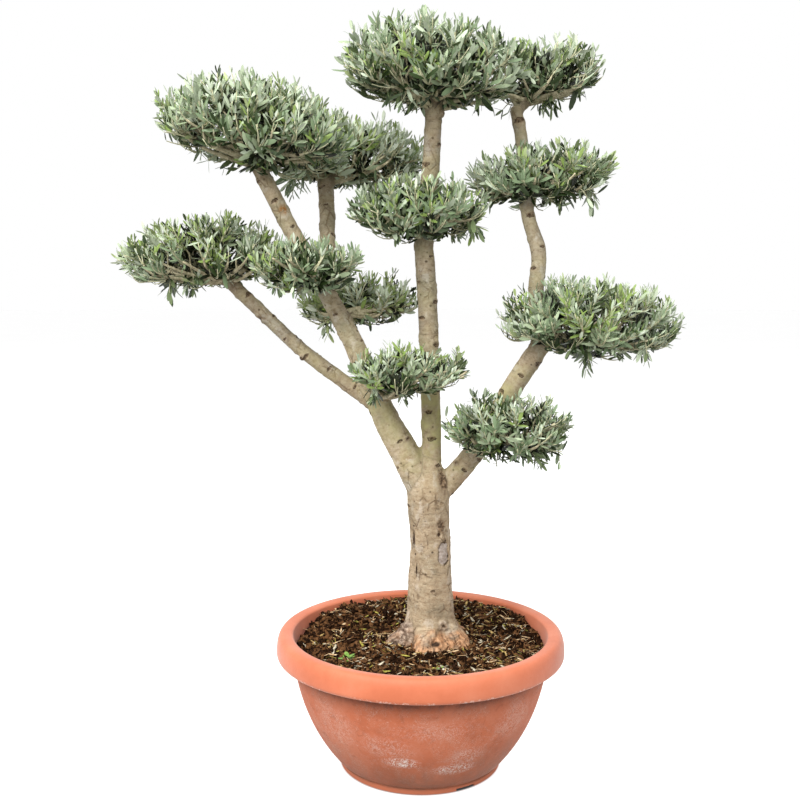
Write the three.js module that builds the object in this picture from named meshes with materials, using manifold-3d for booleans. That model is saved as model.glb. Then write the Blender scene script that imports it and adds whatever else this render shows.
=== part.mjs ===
// Olive tree trained as a cloud-pruned bonsai, growing in a round terracotta-coloured bowl.
// Millimetres, +Z up. The origin is the middle of the bowl's flat underside, +X is to the
// viewer's right and -Y faces the viewer.

import * as THREE from "three";
import { mergeVertices } from "three/addons/utils/BufferGeometryUtils.js";
import Module from "manifold-3d";

const wasm = await Module();
wasm.setup();

// Driving dimensions

const SEAT_GAP = 0.3; // between solids that touch on the real plant
const CORE_GAP = 4; // between a limb and the dense middle of a mass that it runs through

const BOWL = {
  rimRadius: 300,
  rimTop: 283,
  rimBottom: 235,
  mouthRadius: 265,
  neckRadius: 267, // outside of the wall where it meets the rolled rim
  footRadius: 168,
  footHeight: 11,
  wall: 5,
  floor: 9,
  belly: [250, 97], // pull of the wall's curve: radius and height
  lipShoulder: 16, // how far in the rim's top starts to turn down
  lipUnder: 7, // how far in the rim's underside starts to turn up
  lipCorner: 10,
  segments: 44,
  curveSteps: 5,
  rimSteps: 3,
};
const NOTCH = { count: 3, firstAngle: -57, width: 44, height: 6, depth: 20 };
const SOIL = { level: 255, edgeDrop: 7, bump: 3, waveLength: 150, flatRadius: 104, flatFade: 40, rings: 5 };

// A limb is a line of places with a radius at each place, from its root to its tip.
const LIMBS = {
  trunk: {
    places: [
      [24, 7, 255.3], [20, 5, 372], [21, 4, 424], [20, 3, 475], [17, 1, 539], [16, 0, 585],
      [16, 0, 626],
    ],
    radii: [47, 44.8, 41.7, 40.5, 41.5, 43, 27],
    sides: 18,
    rings: 13,
    flare: { girth: 36, height: 24, lobes: 5, depth: 0.3, turn: 0.7 },
  },
  leader: {
    places: [
      [20, 1, 600], [22, 3, 680], [18, 6, 826], [13, 6, 975], [6, 3, 1084], [13, -1, 1159],
      [21, -5, 1255], [24, -10, 1347],
    ],
    radii: [22, 19.5, 19.3, 19.2, 19, 18, 16.8, 16.4],
    sides: 10,
    rings: 15,
  },
  bough_left: {
    places: [
      [4, 0, 585], [-29, -1, 649], [-66, -5, 716], [-111, -10, 821], [-154, -15, 917],
      [-222, -16, 1039], [-269, -24, 1125], [-326, -45, 1240],
    ],
    radii: [34, 30, 27, 22, 19, 16.5, 15.7, 15.2],
    sides: 12,
    rings: 15,
  },
  bough_left_low: {
    places: [[-84, -7, 751], [-151, 0, 797], [-249, 8, 871], [-322, 18, 938], [-398, 32, 1008]],
    radii: [16, 14.4, 13.6, 12.8, 13.6],
    sides: 10,
    rings: 9,
  },
  bough_left_rear: {
    places: [
      [-188, -12, 985], [-190, 15, 1055], [-193, 40, 1100], [-199, 90, 1178],
      [-204, 116, 1216],
    ],
    radii: [16, 15.3, 15.2, 15.8, 17],
    sides: 10,
    rings: 8,
  },
  bough_right: {
    places: [
      [30, 0, 565], [62, 0, 598], [111, -4, 659], [147, -10, 715], [177, -14, 775],
      [227, -24, 857], [254, -32, 893],
    ],
    radii: [24, 22.5, 20.8, 20.5, 20.2, 20, 18.5],
    sides: 12,
    rings: 11,
  },
  bough_right_upper: {
    places: [
      [240, -28, 872], [234, -20, 940], [232, -12, 999], [237, -2, 1035], [236, 4, 1072],
      [216, 20, 1143], [204, 56, 1305], [194, 70, 1358],
    ],
    radii: [16, 15.4, 15, 15, 15.2, 12.8, 12.2, 12.8],
    sides: 10,
    rings: 15,
  },
};

// Each limb is cut clear of the limbs that it grows from.
const GROWS_FROM = {
  leader: ["trunk"],
  bough_left: ["trunk", "leader"],
  bough_right: ["trunk", "leader", "bough_left"],
  bough_left_low: ["bough_left"],
  bough_left_rear: ["bough_left"],
  bough_right_upper: ["bough_right"],
};

// A mass of foliage fills a flattened dome round its middle: reach is the half width along X and Y,
// up and down the height above and below the middle, tilt the rise for each millimetre along X.
// Its stem leaves the named limb at a share of that limb's length.
const MASSES = {
  foliage_top: {
    limb: "leader", at: 0.97, middle: [23, -20, 1418],
    reach: [187, 150], up: 119, down: 74, tilt: -0.02,
  },
  foliage_top_right: {
    limb: "bough_right_upper", at: 0.97, middle: [266, 96, 1421],
    reach: [105, 92], up: 94, down: 62, tilt: 0.04,
  },
  foliage_right_upper: {
    limb: "bough_right_upper", at: 0.77, middle: [241, 38, 1214],
    reach: [152, 118], up: 84, down: 56, tilt: 0.02,
  },
  foliage_right_middle: {
    limb: "bough_right", at: 0.96, middle: [341, -38, 912],
    reach: [190, 138], up: 110, down: 86, tilt: -0.05,
  },
  foliage_right_low: {
    limb: "bough_right", at: 0.43, middle: [174, -106, 713],
    reach: [124, 84], up: 88, down: 72, tilt: -0.06,
  },
  foliage_centre: {
    limb: "leader", at: 0.66, middle: [-4, -30, 1142],
    reach: [142, 108], up: 80, down: 58, tilt: 0.02,
  },
  foliage_left_upper: {
    limb: "bough_left", at: 0.97, middle: [-330, -70, 1296],
    reach: [194, 138], up: 112, down: 84, tilt: -0.16,
  },
  foliage_left_rear: {
    limb: "bough_left_rear", at: 0.96, middle: [-159, 143, 1268],
    reach: [156, 108], up: 92, down: 70, tilt: -0.05,
  },
  foliage_left_end: {
    limb: "bough_left_low", at: 0.96, middle: [-451, 38, 1050],
    reach: [176, 124], up: 97, down: 76, tilt: 0.04,
  },
  foliage_left_middle: {
    limb: "bough_left", at: 0.67, middle: [-215, -116, 1036],
    reach: [116, 76], up: 66, down: 54, tilt: 0,
  },
  foliage_rear_middle: {
    limb: "bough_left", at: 0.6, middle: [-138, 116, 958],
    reach: [128, 84], up: 70, down: 58, tilt: 0.03,
  },
  foliage_front_low: {
    limb: "bough_left", at: 0.35, middle: [-23, -112, 826],
    reach: [116, 78], up: 60, down: 48, tilt: 0,
  },
};
const SHOULDER = 2.5; // 2 is an egg, more is fuller at the shoulders

const OWN_SPACE = { nearest: 0.9, lead: 0.08 }; // how far a leaf keeps from the masses beside its own
const CORE = { share: 0.68, facetSize: 95, lump: 0.08 };
const STEM = { radius: 9, tipRadius: 6, sides: 6, hubShare: 0.31 };
const TWIG = {
  count: 6, radius: 6, tipRadius: 3.5, sides: 3, share: 0.92,
  lowest: -0.35, highest: 0.2, leavesAt: 0.86, spread: 0.75,
};
const LEAF = {
  perReach: 0.185, longest: 90, shortest: 34, width: 24, thickness: 3.5,
  widestAt: 0.55, sunk: 14, rise: 0.45, scatter: 0.35,
};
const GOLDEN_ANGLE = Math.PI * (3 - Math.sqrt(5));

// Finishes

const finish = (color, roughness) => new THREE.MeshStandardMaterial({ color, roughness, metalness: 0 });
const FINISHES = {
  bowl: finish(0xd9714a, 0.55),
  soil: finish(0x3a2a1e, 0.95),
  bark: finish(0xb3a184, 0.85),
  leaf: finish(0x7c8f72, 0.6),
};

// Solids

function toSolid(geometry) {
  geometry.deleteAttribute("normal");
  geometry.deleteAttribute("uv");
  const merged = mergeVertices(geometry, 1e-4);
  const vertProperties = merged.attributes.position.array;
  const triVerts = new Uint32Array(merged.index.array);
  return new wasm.Manifold(new wasm.Mesh({ numProp: 3, vertProperties, triVerts }));
}

function toGeometry(solid) {
  const mesh = solid.getMesh();
  const geometry = new THREE.BufferGeometry();
  geometry.setAttribute("position", new THREE.BufferAttribute(mesh.vertProperties, mesh.numProp));
  geometry.setIndex(new THREE.BufferAttribute(mesh.triVerts, 1));
  geometry.computeVertexNormals();
  return geometry;
}

// The largest body of a solid, without scraps and sealed hollows.
function mainBody(solid) {
  return solid.decompose().reduce((a, b) => (b.volume() > a.volume() ? b : a));
}

function mapVertices(geometry, place) {
  const position = geometry.attributes.position;
  const point = new THREE.Vector3();
  for (let i = 0; i < position.count; i++) {
    place(point.fromBufferAttribute(position, i));
    position.setXYZ(i, point.x, point.y, point.z);
  }
  return geometry;
}

function seededRandom(seed) {
  let state = seed >>> 0;
  return () => {
    state = (state + 0x6d2b79f5) >>> 0;
    let t = Math.imul(state ^ (state >>> 15), 1 | state);
    t = (t + Math.imul(t ^ (t >>> 7), 61 | t)) ^ t;
    return ((t ^ (t >>> 14)) >>> 0) / 2 ** 32;
  };
}

// Bowl and soil

// The wall's curve from the foot to the rim, moved in by inset, with its lower end raised by lift.
function wallPoints(inset, lift = 0) {
  const curve = new THREE.QuadraticBezierCurve(
    new THREE.Vector2(BOWL.footRadius - inset, BOWL.footHeight + lift),
    new THREE.Vector2(BOWL.belly[0] - inset, BOWL.belly[1]),
    new THREE.Vector2(BOWL.neckRadius - inset, BOWL.rimBottom),
  );
  return curve.getPoints(BOWL.curveSteps);
}

function revolve(points) {
  return new THREE.LatheGeometry(points, BOWL.segments).rotateX(Math.PI / 2);
}

function bowlGeometry() {
  const rim = new THREE.Path();
  const lip = BOWL.rimRadius;
  rim.moveTo(lip - BOWL.lipUnder, BOWL.rimBottom);
  rim.quadraticCurveTo(lip, BOWL.rimBottom, lip, BOWL.rimBottom + BOWL.lipCorner);
  rim.quadraticCurveTo(lip, BOWL.rimTop, lip - BOWL.lipShoulder, BOWL.rimTop);
  rim.quadraticCurveTo(BOWL.mouthRadius, BOWL.rimTop, BOWL.mouthRadius, BOWL.rimTop - BOWL.lipUnder);
  const profile = [
    new THREE.Vector2(0, 0),
    new THREE.Vector2(BOWL.footRadius, 0),
    ...wallPoints(0),
    ...rim.getPoints(BOWL.rimSteps),
    ...wallPoints(BOWL.wall, BOWL.floor).reverse(),
    new THREE.Vector2(0, BOWL.footHeight + BOWL.floor),
  ];
  let bowl = toSolid(revolve(profile));
  for (let i = 0; i < NOTCH.count; i++) {
    const angle = THREE.MathUtils.degToRad(NOTCH.firstAngle + (i * 360) / NOTCH.count);
    const notch = new THREE.BoxGeometry(2 * NOTCH.depth, NOTCH.width, 2 * NOTCH.height);
    notch.translate(BOWL.footRadius, 0, 0).rotateZ(angle);
    bowl = bowl.subtract(toSolid(notch));
  }
  return toGeometry(bowl);
}

// The soil lies against the bowl's inside. Its top is level under the trunk and uneven elsewhere.
function soilGeometry() {
  const floor = BOWL.footHeight + BOWL.floor + SEAT_GAP;
  const edgeRadius = BOWL.neckRadius - BOWL.wall - 2 * SEAT_GAP;
  const profile = [
    new THREE.Vector2(0, floor),
    ...wallPoints(BOWL.wall + 2 * SEAT_GAP, BOWL.floor + SEAT_GAP),
    new THREE.Vector2(edgeRadius, SOIL.level - SOIL.edgeDrop),
  ];
  for (let i = SOIL.rings - 1; i >= 0; i--) {
    profile.push(new THREE.Vector2((edgeRadius * i) / SOIL.rings, SOIL.level));
  }
  const [rootX, rootY] = LIMBS.trunk.places[0];
  return mapVertices(revolve(profile), (p) => {
    if (p.z < SOIL.level - 1) return;
    const fromTrunk = Math.hypot(p.x - rootX, p.y - rootY);
    const fade = THREE.MathUtils.smoothstep(fromTrunk, SOIL.flatRadius, SOIL.flatRadius + SOIL.flatFade);
    const turn = (2 * Math.PI) / SOIL.waveLength;
    const wave = Math.sin(p.x * turn) * Math.cos(p.y * turn) + Math.sin((p.x + 2 * p.y) * turn) - 2;
    p.z += fade * SOIL.bump * wave;
  });
}

// Trunk and boughs

for (const limb of Object.values(LIMBS)) {
  const places = limb.places.map((place) => new THREE.Vector3(...place));
  limb.curve = new THREE.CatmullRomCurve3(places, false, "centripetal");
  limb.girth = new THREE.SplineCurve(limb.radii.map((radius, i) => new THREE.Vector2(i, radius)));
}

// The centre line, radius and side directions of a limb at a share t of its length.
function limbStation(limb, t) {
  const along = limb.curve.getTangent(t);
  const right = new THREE.Vector3().crossVectors(along, new THREE.Vector3(0, 1, 0)).normalize();
  const back = new THREE.Vector3().crossVectors(right, along);
  return { centre: limb.curve.getPoint(t), along, right, back, radius: limb.girth.getPoint(t).y };
}

// A root flare swells the foot into lobes and fades with height.
function flareAt(flare, height, angle) {
  if (!flare) return 0;
  const fade = Math.exp(-height / flare.height);
  return fade * flare.girth * (1 + flare.depth * Math.cos(flare.lobes * angle + flare.turn));
}

// A tapering limb, larger all round by grow where it cuts its neighbours.
function limbSolid(limb, grow = 0) {
  const tube = new THREE.CylinderGeometry(1, 1, 1, limb.sides, limb.rings);
  const foot = limb.places[0][2];
  mapVertices(tube, (p) => {
    const share = p.y + 0.5;
    const t = limb.flare ? share ** 1.5 : share; // rings lie closer together at a flared foot
    const station = limbStation(limb, t);
    const angle = Math.atan2(p.z, p.x);
    const swell = flareAt(limb.flare, station.centre.z - foot, angle);
    const radius = Math.hypot(p.x, p.z) * (station.radius + swell + grow);
    const end = share === 1 ? grow : share === 0 ? -grow : 0;
    p.copy(station.centre).addScaledVector(station.along, end);
    p.addScaledVector(station.right, radius * Math.cos(angle));
    p.addScaledVector(station.back, radius * Math.sin(angle));
    if (limb.flare && share === 0) p.z = foot - grow; // flat cut at the ground
  });
  return toSolid(tube);
}

const cutters = new Map();
function limbCutter(name, gap) {
  const key = name + gap;
  if (!cutters.has(key)) cutters.set(key, limbSolid(LIMBS[name], gap));
  return cutters.get(key);
}

function cutClear(solid, limbNames, gap) {
  return limbNames.reduce((rest, name) => rest.subtract(limbCutter(name, gap)), solid);
}

function boughSolid(name) {
  return mainBody(cutClear(limbSolid(LIMBS[name]), GROWS_FROM[name] ?? [], SEAT_GAP));
}

const limbNames = Object.keys(LIMBS);
const limbChecks = limbNames.flatMap((name) =>
  Array.from({ length: 25 }, (_, i) => limbStation(LIMBS[name], i / 24)),
);

function touchesLimb(point, gap) {
  return limbChecks.some(({ centre, radius }) => centre.distanceTo(point) < radius + gap);
}

// Masses of foliage

function fullness(x, y, z) {
  return (Math.abs(x) ** SHOULDER + Math.abs(y) ** SHOULDER + Math.abs(z) ** SHOULDER) ** (1 / SHOULDER);
}

// How far out a point lies in a mass's space: 0 at its middle, 1 on its outside.
function depthIn(mass, point) {
  const [x, y, z] = mass.middle;
  const dx = point.x - x;
  const dz = point.z - z - mass.tilt * dx;
  return fullness(dx / mass.reach[0], (point.y - y) / mass.reach[1], dz / (dz > 0 ? mass.up : mass.down));
}

function inOwnSpace(mass, point) {
  const depth = depthIn(mass, point);
  const clear = Math.max(depth + OWN_SPACE.lead, OWN_SPACE.nearest);
  const others = Object.values(MASSES).filter((other) => other !== mass);
  return depth <= 1 && others.every((other) => depthIn(other, point) > clear);
}

// The point of a mass at a direction from its middle and a share of the way out.
function placeIn(mass, direction, share) {
  const out = share / fullness(direction.x, direction.y, direction.z);
  const x = direction.x * mass.reach[0] * out;
  const y = direction.y * mass.reach[1] * out;
  const z = direction.z * (direction.z > 0 ? mass.up : mass.down) * out + mass.tilt * x;
  return new THREE.Vector3(...mass.middle).add(new THREE.Vector3(x, y, z));
}

function spiralDirection(i, count, turn) {
  const z = 1 - (2 * (i + 0.5)) / count;
  const flat = Math.sqrt(1 - z * z);
  const angle = i * GOLDEN_ANGLE + turn;
  return new THREE.Vector3(flat * Math.cos(angle), flat * Math.sin(angle), z);
}

// A straight tapering rod between two points.
function rodSolid(from, to, radius, tipRadius, sides) {
  const rod = new THREE.CylinderGeometry(tipRadius, radius, from.distanceTo(to), sides, 1);
  const along = new THREE.Vector3().subVectors(to, from).normalize();
  rod.applyQuaternion(new THREE.Quaternion().setFromUnitVectors(new THREE.Vector3(0, 1, 0), along));
  rod.translate((from.x + to.x) / 2, (from.y + to.y) / 2, (from.z + to.z) / 2);
  return toSolid(rod);
}

// A lance-shaped leaf with a ridge along its upper side, from its root to its tip.
function leafPoints(root, tip, facing) {
  const along = new THREE.Vector3().subVectors(tip, root);
  const across = new THREE.Vector3().crossVectors(along, facing).normalize();
  const up = new THREE.Vector3().crossVectors(across, along).normalize();
  const waist = root.clone().addScaledVector(along, LEAF.widestAt);
  const left = waist.clone().addScaledVector(across, -LEAF.width / 2);
  const right = waist.clone().addScaledVector(across, LEAF.width / 2);
  return [root, left, waist.addScaledVector(up, LEAF.thickness), right, tip];
}

function leafSolid(points) {
  const faces = [0, 2, 1, 0, 3, 2, 0, 1, 3, 4, 1, 2, 4, 2, 3, 4, 3, 1];
  return toSolid(new THREE.BufferGeometry().setFromPoints(points).setIndex(faces));
}

// The tip of a leaf that leaves a root along a direction: as long as the mass's space allows.
function leafTip(mass, root, direction) {
  for (let length = LEAF.longest; length >= LEAF.shortest; length -= 4) {
    const tip = root.clone().addScaledVector(direction, length);
    if (depthIn(mass, tip) <= 1) return tip;
  }
  return null;
}

function addLeaf(mass, pieces, root, direction, random) {
  const tip = leafTip(mass, root, direction);
  if (!tip) return;
  const facing = new THREE.Vector3(random() - 0.5, random() - 0.5, 0.9 + random());
  const points = leafPoints(root, tip, facing);
  const clear = points.slice(1).every((p) => inOwnSpace(mass, p) && !touchesLimb(p, LEAF.thickness + 1));
  if (clear) pieces.push(leafSolid(points));
}

function coreSolid(mass, random) {
  const core = new THREE.IcosahedronGeometry(1, Math.round(mass.reach[0] / CORE.facetSize));
  const phase = random() * 6;
  mapVertices(core, (p) => {
    const lump = 1 + CORE.lump * Math.sin(5 * p.x + phase) * Math.cos(4 * p.y - phase) * Math.cos(3 * p.z);
    p.copy(placeIn(mass, p, CORE.share * lump));
  });
  return cutClear(toSolid(core), limbNames, CORE_GAP);
}

// A twig from the hub to the outside of the mass, with a pair of leaves near its end.
function addTwig(mass, pieces, hub, outward, random) {
  const end = placeIn(mass, outward, TWIG.share);
  const checks = [end, hub.clone().lerp(end, 0.5)];
  if (checks.some((p) => !inOwnSpace(mass, p) || touchesLimb(p, 2 * TWIG.radius))) return;
  pieces.push(rodSolid(hub, end, TWIG.radius, TWIG.tipRadius, TWIG.sides));
  const along = new THREE.Vector3().subVectors(end, hub).normalize();
  const across = new THREE.Vector3().crossVectors(along, new THREE.Vector3(0, 0, 1)).normalize();
  for (const side of [-TWIG.spread, TWIG.spread]) {
    const direction = along.clone().addScaledVector(across, side);
    direction.z += LEAF.rise;
    direction.normalize();
    const root = hub.clone().lerp(end, TWIG.leavesAt).addScaledVector(direction, -TWIG.tipRadius);
    addLeaf(mass, pieces, root, direction, random);
  }
}

// The stem runs from its limb to a hub in the mass. Twigs leave the hub in turns of the golden angle,
// and more leaves stand out of the dense core on all sides.
function massSolid(mass, seed) {
  const random = seededRandom(seed);
  const between = (low, high) => low + (high - low) * random();
  const start = limbStation(LIMBS[mass.limb], mass.at).centre;
  const hub = placeIn(mass, new THREE.Vector3(0, 0, -1), STEM.hubShare);
  const stem = rodSolid(start, hub, STEM.radius, STEM.tipRadius, STEM.sides);
  const pieces = [coreSolid(mass, random), stem];
  for (let i = 0; i < TWIG.count; i++) {
    const angle = i * GOLDEN_ANGLE + between(0, 0.6);
    const outward = new THREE.Vector3(Math.cos(angle), Math.sin(angle), between(TWIG.lowest, TWIG.highest));
    addTwig(mass, pieces, hub, outward.normalize(), random);
  }
  const count = Math.round(LEAF.perReach * mass.reach[0]);
  const turn = between(0, 2 * Math.PI);
  const scatter = () => between(-LEAF.scatter, LEAF.scatter);
  for (let i = 0; i < count; i++) {
    const outward = spiralDirection(i, count, turn);
    const rise = outward.z > -0.5 ? LEAF.rise : 0; // leaves under the mass hang
    const direction = outward.clone().add(new THREE.Vector3(scatter(), scatter(), scatter() + rise));
    const root = placeIn(mass, outward, CORE.share).addScaledVector(direction.normalize(), -LEAF.sunk);
    addLeaf(mass, pieces, root, direction, random);
  }
  return mainBody(cutClear(wasm.Manifold.union(pieces), limbNames, SEAT_GAP));
}

// Assembly

const tree = new THREE.Group();

function addPart(name, geometry, material) {
  const mesh = new THREE.Mesh(geometry, material);
  mesh.name = name;
  tree.add(mesh);
}

addPart("bowl", bowlGeometry(), FINISHES.bowl);
addPart("soil", soilGeometry(), FINISHES.soil);
for (const name of limbNames) addPart(name, toGeometry(boughSolid(name)), FINISHES.bark);
Object.entries(MASSES).forEach(([name, mass], i) => {
  addPart(name, toGeometry(massSolid(mass, 100 + i)), FINISHES.leaf);
});

export default tree;
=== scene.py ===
import math

import bmesh
import bpy
import numpy as np
from mathutils import Matrix, Vector, noise


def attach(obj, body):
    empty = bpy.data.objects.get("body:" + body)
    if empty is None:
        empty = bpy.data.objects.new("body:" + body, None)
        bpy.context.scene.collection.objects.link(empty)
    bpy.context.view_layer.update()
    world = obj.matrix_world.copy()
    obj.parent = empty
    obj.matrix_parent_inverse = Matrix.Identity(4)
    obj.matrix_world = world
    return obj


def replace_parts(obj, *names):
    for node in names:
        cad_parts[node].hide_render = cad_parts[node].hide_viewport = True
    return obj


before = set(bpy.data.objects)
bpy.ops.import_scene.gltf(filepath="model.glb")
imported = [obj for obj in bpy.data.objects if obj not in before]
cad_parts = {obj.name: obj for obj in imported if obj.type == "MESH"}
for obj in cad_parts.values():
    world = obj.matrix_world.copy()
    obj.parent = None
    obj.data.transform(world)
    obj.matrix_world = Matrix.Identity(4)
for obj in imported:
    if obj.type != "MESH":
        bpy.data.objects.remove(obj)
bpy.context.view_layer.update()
goldenAngle = math.pi * (3 - math.sqrt(5))
anyTurn, startTurn = (0, 6.28), (0, 6)  # ranges for a random turn
upward = np.array([0, 0, 1.0])
plant = bpy.data.collections.new("plant")
bpy.context.scene.collection.children.link(plant)


# small helpers for colours, nodes and pieces

def paint(red, green, blue):  # a colour as read off a screen, 0 to 255, made linear
    linear = [c / 3294.6 if c <= 10 else ((c / 255 + 0.055) / 1.055) ** 2.4 for c in (red, green, blue)]
    return (*linear, 1.0)


def newMaterial(name, **sockets):
    material = bpy.data.materials.new(name)
    material.use_nodes = True
    shader = material.node_tree.nodes["Principled BSDF"]
    for socket, value in sockets.items():
        shader.inputs[socket.replace("_", " ")].default_value = value
    return material, material.node_tree, shader


def addNode(tree, kind, inputs=None, **settings):
    made = tree.nodes.new("ShaderNode" + kind)
    for key, value in settings.items():
        setattr(made, key, value)
    for key, value in (inputs or {}).items():
        if isinstance(value, bpy.types.NodeSocket):
            tree.links.new(value, made.inputs[key])
        else:
            made.inputs[key].default_value = value
    return made


def objectPlace(tree):
    return addNode(tree, "TexCoord").outputs["Object"]


def ownValue(tree, name):  # a value that the mesh carries
    return addNode(tree, "Attribute", attribute_name=name).outputs["Fac"]


def ownPlace(tree, name):
    return addNode(tree, "Attribute", attribute_name=name).outputs["Vector"]


def stretched(tree, place, scale, shift=(0, 0, 0)):
    return addNode(tree, "Mapping", {"Vector": place, "Scale": scale, "Location": shift}).outputs["Vector"]


def lengthOf(tree, place):
    return addNode(tree, "VectorMath", {0: place}, operation="LENGTH").outputs["Value"]


def heightOf(tree, place):
    return addNode(tree, "SeparateXYZ", {0: place}).outputs["Z"]


def grain(tree, place, scale, detail=4.0, roughness=0.55, distortion=0.0):
    inputs = {"Vector": place, "Scale": scale, "Detail": detail}
    inputs |= {"Roughness": roughness, "Distortion": distortion}
    return addNode(tree, "TexNoise", inputs).outputs["Fac"]


def longGrain(tree, place, press, *look):  # pressed flat or drawn out along Z
    return grain(tree, stretched(tree, place, (1, 1, press)), *look)


def ramp(tree, factor, *stops):
    made = addNode(tree, "ValToRGB", {"Fac": factor})
    elements = made.color_ramp.elements
    elements.remove(elements[1])
    elements[0].position, elements[0].color = stops[0]
    for position, colour in stops[1:]:
        elements.new(position).color = colour
    return made.outputs["Color"]


def tones(tree, factor, *stops):  # a ramp of screen colours
    return ramp(tree, factor, *[(position, paint(*tone)) for position, tone in stops])


def band(tree, factor, *stops):  # a ramp of greys
    return ramp(tree, factor, *[(position, (v, v, v, 1)) for position, v in stops])


def patchy(tree, place, look, *stops):  # grain cut down to patches
    return band(tree, grain(tree, place, *look), *stops)


def blend(tree, factor, first, second, mode="MIX"):
    inputs = {0: factor, 6: first, 7: second}
    return addNode(tree, "Mix", inputs, data_type="RGBA", blend_type=mode).outputs[2]


def stained(tree, factor, colour, *tone):
    return blend(tree, factor, colour, paint(*tone))


def maths(tree, operation, first, second):
    return addNode(tree, "Math", {0: first, 1: second}, operation=operation).outputs[0]


def times(tree, first, second):
    return maths(tree, "MULTIPLY", first, second)


def coat(tree, shader, colour, rough):
    tree.links.new(colour, shader.inputs["Base Color"])
    tree.links.new(rough, shader.inputs["Roughness"])


def bumped(tree, shader, height, strength, distance):
    bump = addNode(tree, "Bump", {"Height": height, "Strength": strength, "Distance": distance})
    tree.links.new(bump.outputs["Normal"], shader.inputs["Normal"])


def speckledMaterial(name, look, *colours):  # tones mixed by one fine grain
    material, tree, shader = newMaterial(name, Specular_IOR_Level=look["shine"])
    place = objectPlace(tree)
    fine = grain(tree, place, *look["grain"])
    colour = tones(tree, fine, *zip(look["steps"], colours))
    coat(tree, shader, colour, band(tree, fine, *zip((0.3, 0.7), look["rough"])))
    if "relief" in look:
        bumped(tree, shader, grain(tree, place, *look["relief"]), *look["bump"])
    return material


def meshOf(name, bm):
    mesh = bpy.data.meshes.new(name)
    bm.to_mesh(mesh)
    bm.free()
    return mesh


def meshOfArrays(name, points, faces, paints):
    mesh = bpy.data.meshes.new(name)
    mesh.vertices.add(len(points))
    mesh.vertices.foreach_set("co", np.asarray(points, np.float32).ravel())
    mesh.loops.add(faces.size)
    mesh.loops.foreach_set("vertex_index", faces.astype(np.int32).ravel())
    mesh.polygons.add(len(faces))
    mesh.polygons.foreach_set("loop_start", np.arange(0, faces.size, 3, dtype=np.int32))
    mesh.polygons.foreach_set("material_index", paints.astype(np.int32))
    mesh.update(calc_edges=True)
    mesh.validate()
    return mesh


def joined(*lots):  # several lots of points and triangles as one
    starts = np.cumsum([0] + [len(points) for points, faces in lots])
    faces = np.concatenate([faces + start for (points, faces), start in zip(lots, starts)])
    return np.concatenate([points for points, faces in lots]), faces


def readBack(items, what, width, kind=np.float32):
    values = np.empty(len(items) * width, kind)
    items.foreach_get(what, values)
    return values.reshape(-1, width)


def finalMesh(piece):  # the mesh with its modifiers applied
    depsgraph = bpy.context.evaluated_depsgraph_get()
    return bpy.data.meshes.new_from_object(piece.evaluated_get(depsgraph))


def newPiece(name, mesh, materials):
    piece = bpy.data.objects.new(name, mesh)
    plant.objects.link(piece)
    for material in materials:
        mesh.materials.append(material)
    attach(piece, "root")
    return piece


# small helpers for sums on many points at once

def unit(vectors):
    return vectors / np.maximum(np.linalg.norm(vectors, axis=-1, keepdims=True), 1e-9)


def smoothStep(values, low, high):
    share = np.clip((values - low) / (high - low), 0, 1)
    return share * share * (3 - 2 * share)


def bell(values, width):
    return np.exp(-((values / width) ** 2))


def noiseAt(places):
    return np.array([noise.noise(p) for p in places.tolist()])


def between(at, steps, places):  # the place part of the way along a line
    return np.array([np.interp(at, steps, column) for column in places.T])


def around(turn, flat, rise):  # vectors at these angles
    return np.stack([flat * np.cos(turn), flat * np.sin(turn), rise], axis=-1)


def keepLow(values, index, new):
    values[index] = np.minimum(values[index], new)


def keepHigh(values, index, new):
    values[index] = np.maximum(values[index], new)


# limbs: centre line from root to tip in metres, radius at each place, how much paler it is painted to lift
# the shade cast on it (painted light), and how mossy it is

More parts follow.
